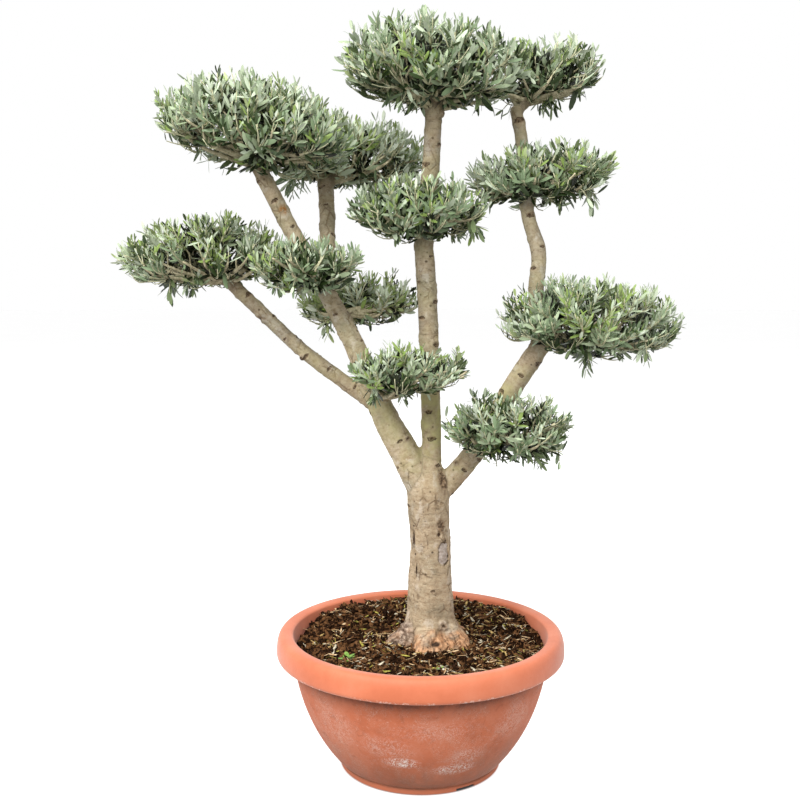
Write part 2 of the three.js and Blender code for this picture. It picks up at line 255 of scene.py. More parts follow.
limbs = {
    "trunk": {
        "places": [(0.024, 0.007, 0.2553), (0.020, 0.005, 0.372), (0.021, 0.004, 0.424),
                   (0.020, 0.003, 0.475), (0.017, 0.001, 0.539), (0.016, 0, 0.585), (0.016, 0, 0.626)],
        "radii": [0.047, 0.0448, 0.0417, 0.0405, 0.0415, 0.043, 0.027],
    },
    "leader": {
        "places": [(0.020, 0.001, 0.600), (0.022, 0.003, 0.680), (0.018, 0.006, 0.826),
                   (0.013, 0.006, 0.975), (0.006, 0.003, 1.084), (0.013, -0.001, 1.159),
                   (0.021, -0.005, 1.255), (0.024, -0.010, 1.347)],
        "radii": [0.022, 0.0195, 0.0193, 0.0192, 0.019, 0.018, 0.0168, 0.0164],
        "pale": 0.3, "mossy": 1.0,
    },
    "bough_left": {
        "places": [(0.004, 0, 0.585), (-0.029, -0.001, 0.649), (-0.066, -0.005, 0.716),
                   (-0.111, -0.010, 0.821), (-0.154, -0.015, 0.917), (-0.222, -0.016, 1.039),
                   (-0.269, -0.024, 1.125), (-0.326, -0.045, 1.240)],
        "radii": [0.034, 0.030, 0.027, 0.022, 0.019, 0.0165, 0.0157, 0.0152],
        "pale": 0.9,
    },
    "bough_left_low": {
        "places": [(-0.084, -0.007, 0.751), (-0.151, 0, 0.797), (-0.249, 0.008, 0.871),
                   (-0.322, 0.018, 0.938), (-0.398, 0.032, 1.008)],
        "radii": [0.016, 0.0144, 0.0136, 0.0128, 0.0136],
    },
    "bough_left_rear": {
        "places": [(-0.188, -0.012, 0.985), (-0.190, 0.015, 1.055), (-0.193, 0.040, 1.100),
                   (-0.199, 0.090, 1.178), (-0.204, 0.116, 1.216)],
        "radii": [0.016, 0.0153, 0.0152, 0.0158, 0.017],
        "pale": 0.5,
    },
    "bough_right": {
        "places": [(0.030, 0, 0.565), (0.062, 0, 0.598), (0.111, -0.004, 0.659), (0.147, -0.010, 0.715),
                   (0.177, -0.014, 0.775), (0.227, -0.024, 0.857), (0.254, -0.032, 0.893)],
        "radii": [0.024, 0.0225, 0.0208, 0.0205, 0.0202, 0.020, 0.0185],
        "pale": 0.25, "mossy": 0.5,
    },
    "bough_right_upper": {
        "places": [(0.240, -0.028, 0.872), (0.234, -0.020, 0.940), (0.232, -0.012, 0.999),
                   (0.237, -0.002, 1.035), (0.236, 0.004, 1.072), (0.216, 0.020, 1.143),
                   (0.204, 0.056, 1.305), (0.194, 0.070, 1.358)],
        "radii": [0.016, 0.0154, 0.015, 0.015, 0.0152, 0.0128, 0.0122, 0.0128],
        "pale": 0.1,
    },
}
trunkRoot = limbs["trunk"]["places"][0]


def limbPoint(places, share):  # a smooth line through the places
    spans = len(places) - 1
    i = min(int(share * spans), spans - 1)
    w = share * spans - i
    b, c = places[i], places[i + 1]
    a = places[i - 1] if i > 0 else 2 * b - c
    d = places[i + 2] if i + 2 <= spans else 2 * c - b
    first, middle, last = (math.sqrt(np.linalg.norm(v)) for v in (b - a, c - b, d - c))
    leave = ((b - a) / first - (c - a) / (first + middle) + (c - b) / middle) * middle
    arrive = ((c - b) / middle - (d - b) / (middle + last) + (d - c) / last) * middle
    return b + w * leave + w**2 * (3 * (c - b) - 2 * leave - arrive) + w**3 * (2 * (b - c) + leave + arrive)


def limbLine(places, radii, count):
    places = np.array(places, float)
    shares = np.linspace(0, 1, count)
    centres = np.array([limbPoint(places, t) for t in shares])
    girth = np.interp(shares, np.linspace(0, 1, len(radii)), radii)
    along = unit(np.gradient(centres, axis=0))
    right = unit(np.cross(along, (0, 1, 0)))
    steps = np.linalg.norm(np.diff(centres, axis=0), axis=1)
    return {
        "centres": centres, "radii": girth, "along": along, "right": right, "back": np.cross(right, along),
        "run": np.concatenate([[0], np.cumsum(steps)]), "shares": shares,
    }


limbSteps = 64
limbLines = {name: limbLine(limb["places"], limb["radii"], limbSteps) for name, limb in limbs.items()}
limbCentres = np.concatenate([line["centres"] for line in limbLines.values()])
limbRadii = np.concatenate([line["radii"] for line in limbLines.values()])


def clearOfLimbs(points, gap):
    apart = np.linalg.norm(points[:, None] - limbCentres[None], axis=2) - limbRadii[None]
    return apart.min(axis=1) > gap


# foliage masses: the solid each replaces, the limb it grows on and where along it, and the space it fills
# under says how full the lower half is, young the share of young leaves, light how much paler the rest are
# painted, as painted light on masses in the shade of others

massRows = {
    "top": ("foliage_top", "leader", 0.97, (0.020, -0.020, 1.412), (0.190, 0.150),
            0.119, 0.070, -0.05, 1.45, 0.10, 0),
    "topRight": ("foliage_top_right", "bough_right_upper", 0.97, (0.257, 0.096, 1.420), (0.117, 0.092),
                 0.096, 0.048, 0.10, 1.6, 0.10, 0),
    "rightUpper": ("foliage_right_upper", "bough_right_upper", 0.77, (0.243, 0.038, 1.214), (0.154, 0.118),
                   0.084, 0.060, 0.07, 1.6, 0.12, 0),
    "rightMiddle": ("foliage_right_middle", "bough_right", 0.96, (0.340, -0.038, 0.916), (0.184, 0.138),
                    0.110, 0.068, -0.05, 1.5, 0.14, 0),
    "rightLow": ("foliage_right_low", "bough_right", 0.43, (0.169, -0.106, 0.720), (0.125, 0.084),
                 0.086, 0.074, -0.03, 1.6, 0.14, 0),
    "centre": ("foliage_centre", "leader", 0.66, (-0.004, -0.030, 1.142), (0.142, 0.108),
               0.085, 0.060, 0.02, 1.4, 0.14, 0),
    "leftUpper": ("foliage_left_upper", "bough_left", 0.97, (-0.320, -0.070, 1.296), (0.190, 0.138),
                  0.114, 0.084, -0.13, 1.7, 0.10, 0),
    "leftRear": ("foliage_left_rear", "bough_left_rear", 0.96, (-0.152, 0.143, 1.268), (0.166, 0.108),
                 0.104, 0.070, -0.05, 1.7, 0.26, 1.0),
    "leftEnd": ("foliage_left_end", "bough_left_low", 0.96, (-0.449, 0.038, 1.052), (0.178, 0.124),
                0.098, 0.060, 0.06, 1.7, 0.22, 0),
    "leftMiddle": ("foliage_left_middle", "bough_left", 0.67, (-0.220, -0.116, 1.034), (0.112, 0.076),
                   0.064, 0.054, 0, 1.6, 0.14, 0),
    "rearMiddle": ("foliage_rear_middle", "bough_left", 0.6, (-0.130, 0.116, 0.960), (0.138, 0.084),
                   0.078, 0.055, 0.05, 1.5, 0.40, 0.8),
    "frontLow": ("foliage_front_low", "bough_left", 0.35, (-0.023, -0.112, 0.826), (0.124, 0.078),
                 0.071, 0.048, 0, 1.3, 0.18, 0),
}
massKeys = ("node", "limb", "at", "middle", "reach", "up", "down", "tilt", "under", "young", "light")
masses = {name: dict(zip(massKeys, row)) for name, row in massRows.items()}
lowSprays = {  # where single sprays hang below a mass
    "top": [(0.113, -0.060, 1.342), (-0.040, -0.060, 1.350)],
    "topRight": [(0.272, 0.060, 1.370), (0.326, 0.080, 1.398)],
    "rightUpper": [(0.280, 0.000, 1.169), (0.345, 0.030, 1.173)],
    "rightMiddle": [(0.328, -0.090, 0.842), (0.424, -0.110, 0.868)],
    "rightLow": [(0.226, -0.130, 0.656), (0.262, -0.120, 0.670)],
    "centre": [(0.105, -0.060, 1.104), (-0.044, -0.060, 1.092)],
    "leftUpper": [(-0.423, -0.100, 1.250)],
    "leftRear": [(-0.280, 0.100, 1.206), (-0.256, 0.090, 1.222), (-0.100, 0.120, 1.196)],
    "leftEnd": [(-0.510, -0.020, 0.980), (-0.468, -0.010, 0.988)],
    "leftMiddle": [(-0.274, -0.130, 0.996)],
    "rearMiddle": [(-0.200, 0.100, 0.902)],
    "frontLow": [(-0.090, -0.130, 0.786)],
}
space = {
    "shoulder": 2.5,         # 2 is round, higher is squarer
    "nearest": 0.9,          # how near to the middle of another mass a shoot may come
    "lead": 0.08,
    "outmost": 1.06,         # how far shoots and leaves may stand out
}


def fullness(mass, vectors):  # full shoulders above, drawn in towards the limb below
    x, y, z = np.abs(vectors).T
    flat = (x ** space["shoulder"] + y ** space["shoulder"]) ** (1 / space["shoulder"])
    power = np.where(vectors[:, 2] > 0, space["shoulder"], mass["under"])
    return (flat**power + z**power) ** (1 / power)


def depthIn(mass, points):  # 0 at the middle of a mass, 1 on its outside
    x, y, z = (points - np.array(mass["middle"])).T
    z = z - mass["tilt"] * x
    height = np.where(z > 0, mass["up"], mass["down"])
    return fullness(mass, np.stack([x / mass["reach"][0], y / mass["reach"][1], z / height], axis=-1))


def inOwnSpace(mass, points, limit=1.0):
    depth = depthIn(mass, points)
    clear = np.maximum(depth + space["lead"], space["nearest"])
    free = depth <= limit
    for other in masses.values():
        if other is not mass:
            free &= depthIn(other, points) > clear
    return free


def placeIn(mass, directions, share):
    scaled = directions * (share / fullness(mass, directions))[:, None]
    height = np.where(scaled[:, 2] > 0, mass["up"], mass["down"])
    x, y = scaled[:, 0] * mass["reach"][0], scaled[:, 1] * mass["reach"][1]
    return np.array(mass["middle"]) + np.stack([x, y, scaled[:, 2] * height + mass["tilt"] * x], axis=-1)


def outwardAt(mass, points):  # which way the outside of a mass faces at a point
    steps = 0.001 * np.eye(3)
    return unit(np.stack([depthIn(mass, points + s) - depthIn(mass, points - s) for s in steps], axis=-1))


def halfSizes(mass):
    return *mass["reach"], (mass["up"] + mass["down"]) / 2


def outsideArea(mass):
    a, b, c = halfSizes(mass)
    power = 1.6
    return 4 * math.pi * (((a * b) ** power + (a * c) ** power + (b * c) ** power) / 3) ** (1 / power)


# growth: stem to the hub, main twigs round it, side twigs, leafy shoots

growth = {
    "hubShare": 0.31,        # how far below the middle the hub lies, of the mass's lower height
    "hubPull": 0.3,          # how far it is drawn towards the limb
    "stemRadius": 0.0095,
    "mainTwigs": 10,
    "wideReach": 0.14,       # a mass that reaches further has more main twigs
    "wideTwigs": 3,
    "mainReach": (0.70, 0.92),
    "mainSlope": (-0.52, 0.30),
    "mainRadius": 0.0062,
    "mainTipRadius": 0.0019,
    "mainSteps": 16,
    "sweepingTwigs": 9,
    "sweepReach": (0.74, 0.90),
    "sweepSlope": (-0.35, 0.05),
    "sweepBelow": 0.94,
    "barkShare": 0.13,       # this much of a main twig is thick enough to carry bark
    "sideRadii": (0.0023, 0.0015),
    "shootRadii": (0.0018, 0.0010),
    "thinSteps": 5,          # points along a side twig or a shoot
    "sprigArea": 0.0026,     # outside of a mass for each sprig, in square metres
    "sprigShoots": (3, 6),
    "sprigSpread": 0.0125,
    "outerReach": (0.86, 1.0),
    "innerReach": (0.60, 0.78),
    "innerShare": 0.30,
    "bareUnderside": 0.2,    # sprigs on the underside, of the usual number
    "shootLength": (0.038, 0.074),
    "shootDrop": (0.012, 0.034),
    "strongSprigs": 0.16,    # share of sprigs that stand out beyond the rest
    "strongReach": 0.09,
    "lumps": 0.07,
    "endShoots": 3,          # on each main twig
    "endLength": (0.024, 0.046),
    "hangingShoots": 8,
    "hangingScale": 1.2,
    "pairGap": 0.0098,
    "leafLength": (0.0182, 0.0320),
    "leafWidth": 0.258,
    "leafHeights": (0.80, 1.30),
    "leafScale": (0.95, 1.22),  # of leaves on masses at these heights
    "leafLoss": 0.08,
    "leafClear": 0.003,
}
mainTaper = np.linspace(0, 1, growth["mainSteps"] + 1) ** 0.8
mainRadii = growth["mainRadius"] + (growth["mainTipRadius"] - growth["mainRadius"]) * mainTaper
barkSteps = int(growth["barkShare"] * growth["mainSteps"])


def curveThrough(start, leave, arrive, end, count):  # bezier lines for many twigs at once
    t = np.linspace(0, 1, count)[None, :, None]
    a, b, c, d = (p[:, None, :] for p in (start, leave, arrive, end))
    return (1 - t) ** 3 * a + 3 * (1 - t) ** 2 * t * b + 3 * (1 - t) * t**2 * c + t**3 * d


def bentLine(start, bend, end, t):
    return (1 - t) ** 2 * start + 2 * t * (1 - t) * bend + t**2 * end


def mainTwigsOf(mass, random):
    line = limbLines[mass["limb"]]
    foot = between(mass["at"], line["shares"], line["centres"])
    hub = np.array(mass["middle"]) - (0, 0, growth["hubShare"] * mass["down"])
    hub[:2] += growth["hubPull"] * (foot - hub)[:2]
    count = growth["mainTwigs"] + growth["wideTwigs"] * int(mass["reach"][0] > growth["wideReach"])
    order = np.arange(count)
    turn = order * goldenAngle + random.uniform(*startTurn)
    low, high = growth["mainSlope"]
    rise = low + (high - low) * ((order * 0.618 + 0.3) % 1)
    outward = around(turn, np.sqrt(1 - rise**2), rise)
    ends = placeIn(mass, outward, random.uniform(*growth["mainReach"], count))
    start = hub + (foot - hub) * random.uniform(0, 0.8, (count, 1))
    span = np.linalg.norm(ends - start, axis=1, keepdims=True)
    level = unit((ends - start) * (1, 1, 0.15))
    leave = start + level * span * 0.38 + random.normal(0, 0.008, (count, 3))
    arrive = ends - span * 0.3 * unit(level + (0, 0, 0.45)) + random.normal(0, 0.006, (count, 3))
    rising = curveThrough(start, leave, arrive, ends, growth["mainSteps"] + 1)

    # others sweep along the underside and turn up at the edge
    count = growth["sweepingTwigs"]
    turn = np.arange(count) * goldenAngle + random.uniform(*startTurn)
    outward = around(turn, 1, random.uniform(*growth["sweepSlope"], count))
    ends = placeIn(mass, outward, random.uniform(*growth["sweepReach"], count))
    below = placeIn(mass, outward - (0, 0, 0.55), np.full(count, growth["sweepBelow"]))
    start = hub + (foot - hub) * random.uniform(0.3, 0.8, (count, 1))
    leave = start + (below - start) * 0.5 + random.normal(0, 0.006, (count, 3))
    arrive = below + random.normal(0, 0.006, (count, 3))
    sweeping = curveThrough(start, leave, arrive, ends, growth["mainSteps"] + 1)
    paths = np.concatenate([rising, sweeping])
    keep = inOwnSpace(mass, paths[:, -1]) & clearOfLimbs(paths[:, -1], 0.006)
    return foot, hub, paths[keep]


def shootDirections(mass, count, turn):  # a golden spiral, as dense on the flat top as on the steep sides
    z = np.linspace(-0.999, 0.999, 400)
    a, b, c = halfSizes(mass)
    bare = growth["bareUnderside"]
    weight = np.sqrt((1 - z**2) * (c * (a + b) / 2) ** 2 + (z * a * b) ** 2)
    weight *= bare + (1 - bare) * smoothStep(z, -0.62, 0.08)
    total = np.cumsum(weight)
    heights = np.interp((np.arange(count) + 0.5) / count, total / total[-1], z)
    return around(np.arange(count) * goldenAngle + turn, np.sqrt(1 - heights**2), heights)


def shootsOf(mass, random, hub, count, reach):  # sprigs of a few shoots, and the base and heading of each
    directions = shootDirections(mass, count, random.uniform(*startTurn))
    lumps = noiseAt(directions * 2.4 + np.array(mass["middle"]) * 40) + 0.6 * noiseAt(directions * 5.5 + 3)
    strong = random.random(count) < growth["strongSprigs"]
    share = random.uniform(*reach, count) + growth["lumps"] * lumps + growth["strongReach"] * strong
    tips = placeIn(mass, directions, np.minimum(share, space["outmost"]))
    out = outwardAt(mass, tips)
    fromHub = unit(tips - hub)
    upper = smoothStep(out[:, 2], -0.75, 0.05)[:, None]
    heading = upper * (0.30 * out + 0.15 * fromHub + 0.85 * upward)
    heading = heading + (1 - upper) * (0.9 * fromHub + 0.55 * upward)
    heading = unit(unit(heading) + random.normal(0, 0.2, (count, 3)))
    knees = tips - heading * 0.05
    far = np.linalg.norm(knees - hub, axis=1, keepdims=True)
    back = unit(unit(knees - hub) + random.normal(0, 0.12, (count, 3)))
    bases = knees - back * np.minimum(0.024, 0.8 * far)

    # the shoots of a sprig fan out from its base
    owner = np.repeat(np.arange(count), random.integers(*growth["sprigShoots"], count))
    many = len(owner)
    aside = random.normal(0, growth["sprigSpread"], (many, 3))
    aside -= heading[owner] * (aside * heading[owner]).sum(axis=1, keepdims=True)
    ends = tips[owner] + aside - heading[owner] * random.uniform(*growth["shootDrop"], (many, 1))
    ways = unit(heading[owner] + aside / 0.042 + random.normal(0, 0.10, (many, 3)))
    bends = ends - ways * random.uniform(*growth["shootLength"], (many, 1)) * 0.45
    keep = inOwnSpace(mass, tips, space["outmost"])[owner] & clearOfLimbs(ends, 0.004)
    keep &= (depthIn(mass, bases) < 0.97)[owner]
    shoots = [bases[owner][keep], bends[keep], ends[keep], out[owner][keep], owner[keep]]
    return shoots, bases, unit(knees - bases)


def endShootsOf(random, mains):  # each main twig runs out into a few leafy shoots
    bases = np.repeat(mains[:, -2], growth["endShoots"], axis=0)
    ways = np.repeat(unit(mains[:, -1] - mains[:, -3]), growth["endShoots"], axis=0)
    count = len(bases)
    length = random.uniform(*growth["endLength"], (count, 1))
    bends = bases + unit(ways + random.normal(0, 0.22, (count, 3))) * length * 0.55
    ends = bends + unit(ways + (0, 0, 0.5) + random.normal(0, 0.3, (count, 3))) * length * 0.5
    return [bases, bends, ends, ways, np.arange(count)]


def hangingShootsOf(name, mass, random, mains):  # short sprays that droop from the main twigs
    points = mains[:, 4:].reshape(-1, 3)
    low = points[np.argsort(points[:, 2] - mass["tilt"] * points[:, 0])[: len(points) // 2]]
    bases = low[random.integers(0, len(low), growth["hangingShoots"])]
    side = unit((bases - np.array(mass["middle"])) * (1, 1, 0))
    bends = bases + (0.8 * side + (0, 0, -0.1)) * random.uniform(0.006, 0.014, (len(bases), 1))
    down = unit(0.5 * side + (0, 0, -0.8) + random.normal(0, 0.3, (len(bases), 3)))
    ends = bends + down * random.uniform(0.006, 0.022, (len(bases), 1))
    for place in np.repeat(lowSprays[name], 3, axis=0):
        end = place + random.normal(0, 0.007, 3)
        base = points[np.argmin(np.linalg.norm((points - end) * (1, 1, 0.6), axis=1))]
        bend = (base + end) / 2 + random.normal(0, 0.005, 3) + (0, 0, 0.006)
        bases, bends, ends = (np.vstack(pair) for pair in ((bases, base), (bends, bend), (ends, end)))
    count = len(bases)
    return [bases, bends, ends, -np.tile(upward, (count, 1)), np.arange(count)]


def sideTwigsOf(mains, bases, headings):  # each shoot grows on from a main twig close behind it
    points = mains[:, 3:].reshape(-1, 3)
    tangents = unit(np.gradient(mains, axis=1))[:, 3:].reshape(-1, 3)
    apart = bases[:, None] - points[None]
    far = np.linalg.norm(apart, axis=2)
    ahead = (apart * headings[:, None]).sum(axis=2) / np.maximum(far, 1e-6)
    nearest = np.argmin(far * (1.9 - ahead), axis=1)
    start = points[nearest]
    span = np.linalg.norm(bases - start, axis=1, keepdims=True)
    leave = start + 0.3 * span * unit(tangents[nearest] + unit(bases - start))
    return curveThrough(start, leave, bases - headings * span * 0.3, bases, growth["thinSteps"])


def tubesOf(paths, radii, sides):  # closed tubes of the same taper along many lines
    many, count = paths.shape[:2]
    along = unit(np.gradient(paths, axis=1))
    chord = unit(paths[:, -1] - paths[:, 0])
    aside = np.eye(3)[np.argmin(np.abs(chord), axis=1)]
    right = unit(np.cross(along, aside[:, None, :]))
    back = np.cross(along, right)
    turn = np.arange(sides) * 2 * math.pi / sides
    ring = right[:, :, None] * np.cos(turn)[:, None] + back[:, :, None] * np.sin(turn)[:, None]
    points = paths[:, :, None] + ring * np.asarray(radii)[:, None, None]
    j, k = np.meshgrid(np.arange(count - 1), np.arange(sides), indexing="ij")
    a, b = j * sides + k, j * sides + (k + 1) % sides
    wall = [np.stack([a, b, b + sides], -1), np.stack([a, b + sides, a + sides], -1)]
    fan = np.array([(0, i + 1, i) for i in range(1, sides - 1)])
    template = np.concatenate([np.concatenate(wall).reshape(-1, 3), fan, fan[:, ::-1] + (count - 1) * sides])
    faces = template[None] + (np.arange(many) * count * sides)[:, None, None]
    return points.reshape(-1, 3), faces.reshape(-1, 3)


def twigMaterials():  # woody twigs, and the greener stems of young shoots
    look = {"grain": (130, 5, 0.6), "steps": (0.34, 0.5, 0.66), "rough": (0.85, 0.65), "shine": 0.3,
            "relief": (700, 3), "bump": (0.4, 0.0006)}
    return [
        speckledMaterial("twigBark", look, (134, 125, 99), (174, 165, 134), (200, 192, 161)),
        speckledMaterial("shootStem", look, (150, 148, 114), (182, 180, 146), (204, 202, 170)),
    ]


# leaves: lance-shaped, green above and silvery below, closed and with few faces

leafForm = {
    "stations": (0.22, 0.54, 0.85), "widths": (0.74, 1.0, 0.70), "fold": 0.20, "thickness": 0.05,
    "corners": 14, "outline": (0, 1, 3, 5, 7, 9, 11, 13),
}
leafTints = {  # upper side, underside
    "grey": ((113, 131, 98), (180, 192, 164)),
    "pale": ((149, 163, 130), (199, 208, 185)),
    "deep": ((41, 56, 24), (95, 109, 72)),
    "young": ((126, 147, 78), (172, 186, 132)),
    "silver": ((183, 195, 169), (214, 222, 203)),
    "shaded": ((15, 21, 4), (36, 43, 19)),
}


def leafMaterial(name, colour, gloss):
    material, tree, shader = newMaterial(name, Base_Color=paint(*colour), Specular_IOR_Level=0.3)
    place = objectPlace(tree)
    rough = patchy(tree, place, (160,), (0.3, gloss - 0.08), (0.7, gloss + 0.1))
    tree.links.new(rough, shader.inputs["Roughness"])
    bumped(tree, shader, longGrain(tree, place, 0.4, 900, 2), 0.25, 0.0004)
    return material


def leafMaterials():
    made = []
    for name, (upper, under) in leafTints.items():
        for side, colour, gloss in (("Upper", upper, 0.42), ("Under", under, 0.62)):
            made.append(leafMaterial("leaf" + name.capitalize() + side, colour, gloss))
    return made


def leavesOf(roots, headings, facings, lengths, widths, arches):
    across = unit(np.cross(facings, headings))
    facing = np.cross(headings, across)
    spine = []
    for t in (0.0, *leafForm["stations"], 1.0):
        spine.append(roots + headings * (lengths * t)[:, None] - facing * (lengths * arches * t * t)[:, None])
    points = [spine[0]]
    for middle, share in zip(spine[1:], leafForm["widths"]):
        half = (widths * 0.5 * share)[:, None]
        edge = middle - facing * half * leafForm["fold"]
        below = middle - facing * widths[:, None] * leafForm["thickness"]
        points += [edge + across * half, middle, edge - across * half, below]
    points = np.stack([*points, spine[-1]], axis=1)
    upper = [(0, 3, 2), (0, 2, 1), (11, 13, 10), (10, 13, 9)]
    for left in (1, 5):
        top, right = left + 1, left + 2
        upper += [(right, right + 4, top + 4), (right, top + 4, top)]
        upper += [(top, top + 4, left + 4), (top, left + 4, left)]
    under = [tuple({2: 4, 6: 8, 10: 12}.get(v, v) for v in face[::-1]) for face in upper]
    faces = np.array(upper + under)[None] + (np.arange(len(roots)) * leafForm["corners"])[:, None, None]
    return points.reshape(-1, 3), faces.reshape(-1, 3), len(upper)


def sharpLeafEdges(mesh):  # upper side and underside meet in a crisp edge
    ends = readBack(mesh.edges, "vertices", 2, np.int32) % leafForm["corners"]
    outline = np.isin(ends, leafForm["outline"]).all(axis=1)
    mesh.attributes.new("sharp_edge", "BOOLEAN", "EDGE").data.foreach_set("value", outline)


def leafySprays(shoots, drooping, scale, random):  # opposite pairs, each turned a quarter from the one below
    leaves = []
    for i, (base, bend, end) in enumerate(zip(*shoots)):
        side = random.normal(0, 1, 3)
        length = np.linalg.norm(bend - base) + np.linalg.norm(end - bend)
        larger = growth["hangingScale"] if drooping[i] else 1
        pairs = max(int(length / (growth["pairGap"] * scale) * larger), 2)
        rise = np.array((0, 0, -0.1 if drooping[i] else 0.16))
        for j in range(pairs):
            share = j / (pairs - 1)  # 0 at the tip of the shoot
            t = 1 - 0.94 * share
            root = bentLine(base, bend, end, t)
            heading = unit((1 - t) * (bend - base) + t * (end - bend))
            across = unit(np.cross(heading, side))
            if j % 2:
                across = np.cross(heading, across)
            spread = math.radians(random.uniform(12, 26) + 44 * share**0.7)
            grown = 0.66 + 0.34 * min(1, share * 2.2)
            size = scale * random.uniform(*growth["leafLength"]) * grown * larger
            for sign in (-1, 1):
                if j > 1 and random.random() < growth["leafLoss"]:
                    continue
                radial = sign * across + random.normal(0, 0.16, 3)
                way = heading * math.cos(spread) + radial * math.sin(spread) + rise
                facing = heading * math.sin(spread) - radial * math.cos(spread) + random.normal(0, 0.24, 3)
                leaves.append((root, unit(way), facing, size * random.uniform(0.86, 1.1), i, t))
    return [np.array(column) for column in zip(*leaves)]


def dealTints(mass, kind, out, sprig, random):  # painted shade: near-black leaves inside, with some older ones; darker leaves below and on hanging sprays, partly older, partly painted shade; younger ones on top; paler ones outside, more silver higher up as painted light
    dice = 0.45 * random.random(sprig.max() + 1)[sprig] + 0.55 * random.random(len(sprig))
    dice = np.argsort(np.argsort(dice)) / len(dice)
    # painted light: paler tints for masses that lie in the shade of others
    light = mass["light"]
    outer, high = kind == 0, out[:, 2]
    olderAndShadedShare = np.select([kind == 1, kind == 2], [0.15, 0.6], 0.15 + 0.35 * smoothStep(high, 0.1, -0.5))
    shares = {
        "shaded": np.where(kind == 1, 0.85, 0),
        "deep": olderAndShadedShare * (1 - 0.7 * light),
        "young": np.where(outer, mass["young"] * (0.3 + 1.0 * (high > 0.2)), 0.05),
        "silver": np.where(outer, 0.07 + 0.10 * smoothStep(high, 0, 0.8) + 0.40 * light, 0),
        "pale": np.where(outer, 0.24 + 0.4 * light, 0),
    }
    steps = np.cumsum(list(shares.values()), axis=0)
    return np.select(list(dice < steps), [list(leafTints).index(name) for name in shares], 0)


def growMass(name, mass, random, hub, mains, leafPaints, twigPaints):
    count = int(outsideArea(mass) / growth["sprigArea"])
    outer, *outerSprigs = shootsOf(mass, random, hub, count, growth["outerReach"])
    inner, *innerSprigs = shootsOf(mass, random, hub, int(count * growth["innerShare"]), growth["innerReach"])
    last, hanging = endShootsOf(random, mains), hangingShootsOf(name, mass, random, mains)
    sprigBases, sprigWays = (np.concatenate(both) for both in zip(outerSprigs, innerSprigs))
    sprigs = len(sprigBases)
    for group, start in ((inner, count), (last, sprigs), (hanging, sprigs + len(last[4]))):
        group[4] = group[4] + start
    groups = (outer, inner, last, hanging)
    kind = np.repeat([0, 1, 0, 2], [len(group[0]) for group in groups])  # outer, inner and hanging shoots
    bases, bends, ends, out, sprig = (np.concatenate(parts) for parts in zip(*groups))
    tint = dealTints(mass, kind, out, sprig, random)

    # leaves that stay in their own space, on shoots with enough of them
    scale = np.interp(mass["middle"][2], growth["leafHeights"], growth["leafScale"])
    leaves = leafySprays((bases, bends, ends), kind == 2, scale, random)
    roots, ways, facings, sizes, owner, shares = leaves
    tips = roots + ways * sizes[:, None]
    keep = inOwnSpace(mass, tips, space["outmost"]) | (kind[owner] == 2)
    keep &= clearOfLimbs(tips, growth["leafClear"]) & clearOfLimbs((roots + tips) / 2, growth["leafClear"])
    leafy = np.bincount(owner[keep], minlength=len(ends)) > 3
    keep &= leafy[owner]
    roots, ways, facings, sizes, owner, shares = (column[keep] for column in leaves)
    widths = sizes * growth["leafWidth"] * random.uniform(0.85, 1.15, len(sizes))
    arches = random.normal(0.06, 0.09, len(sizes))
    points, faces, upperCount = leavesOf(roots, ways, facings, sizes, widths, arches)
    sides = np.tile(np.repeat([0, 1], upperCount), len(roots))
    mesh = meshOfArrays("leaves_" + name, points, faces, np.repeat(tint[owner] * 2, 2 * upperCount) + sides)
    sharpLeafEdges(mesh)
    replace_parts(newPiece("leaves_" + name, mesh, leafPaints), mass["node"])

    # twigs: the thin part of the main ones, the side twigs, and the shoots as far as their last leaf
    leafyLength = np.zeros(len(ends))
    np.maximum.at(leafyLength, owner, shares)
    steps = growth["thinSteps"]
    t = (np.linspace(0, 1, steps) * leafyLength[leafy][:, None])[:, :, None]
    stems = bentLine(*(p[leafy][:, None] for p in (bases, bends, ends)), t)
    grown = np.unique(sprig[leafy & (sprig < sprigs)])
    side = sideTwigsOf(mains, sprigBases[grown], sprigWays[grown])
    lots = (
        tubesOf(mains[:, barkSteps - 1:], mainRadii[barkSteps - 1:], 6),
        tubesOf(side, np.linspace(*growth["sideRadii"], steps), 4),
        tubesOf(stems, np.linspace(*growth["shootRadii"], steps), 3),
    )
    paints = np.repeat([0, 0, 1], [len(faces) for points, faces in lots])
    newPiece("twigs_" + name, meshOfArrays("twigs_" + name, *joined(*lots), paints), twigPaints)
    print(name, "mass:", len(roots), "leaves on", len(ends), "shoots")


# bark: one skin over the trunk, the boughs and the thick ends of the main twigs

rootFlare = {
    "girth": 0.036, "height": 0.024, "lobes": 5, "depth": 0.3, "turn": 0.7, "sunk": 0.010, "core": 0.01,
}
barkForm = {
    "voxel": 0.0028,
    "trunkSwell": 0.0015,
    "limbSwell": 0.0008,
    "twigSwell": 0.0004,
    "jointEasing": (0.016, 0.001),  # where two limbs are this near, their joint is rounded off
    "lump": 0.0012,
    "wrinkle": 0.0004,
    "thickLimb": 0.018,      # thinner limbs have less relief
    "knotEvery": (0.012, 0.028),
    "knotSize": (0.0038, 0.0070),
    "knotDepth": 0.0020,
    "knotLip": 0.0013,
    "bigKnots": 0.2,
    "bigScale": 1.6,
    "trunkGap": 2.6,         # knots on the trunk lie this much further apart
    "knotStart": 0.03,
    "knotFlat": (0.8, 1.15),  # along and across the limb
    "scarLip": 0.0012, "scarPit": 0.0018,
    "splitLip": 0.0014, "splitPit": 0.0026,
    "creasePit": 0.0010,
    "stubRise": 0.007, "stubPit": 0.004,
    "flakes": 0.0030,
    "footHeight": 0.075,     # the fibrous bark at the ground ends here
    "footRibs": 0.008, "footSunk": 0.003, "footGrain": 0.0026, "footFibres": 0.0024,
    "kneeEdge": 0.0012, "kneeRings": 0.0009, "kneeTurns": 17,
}
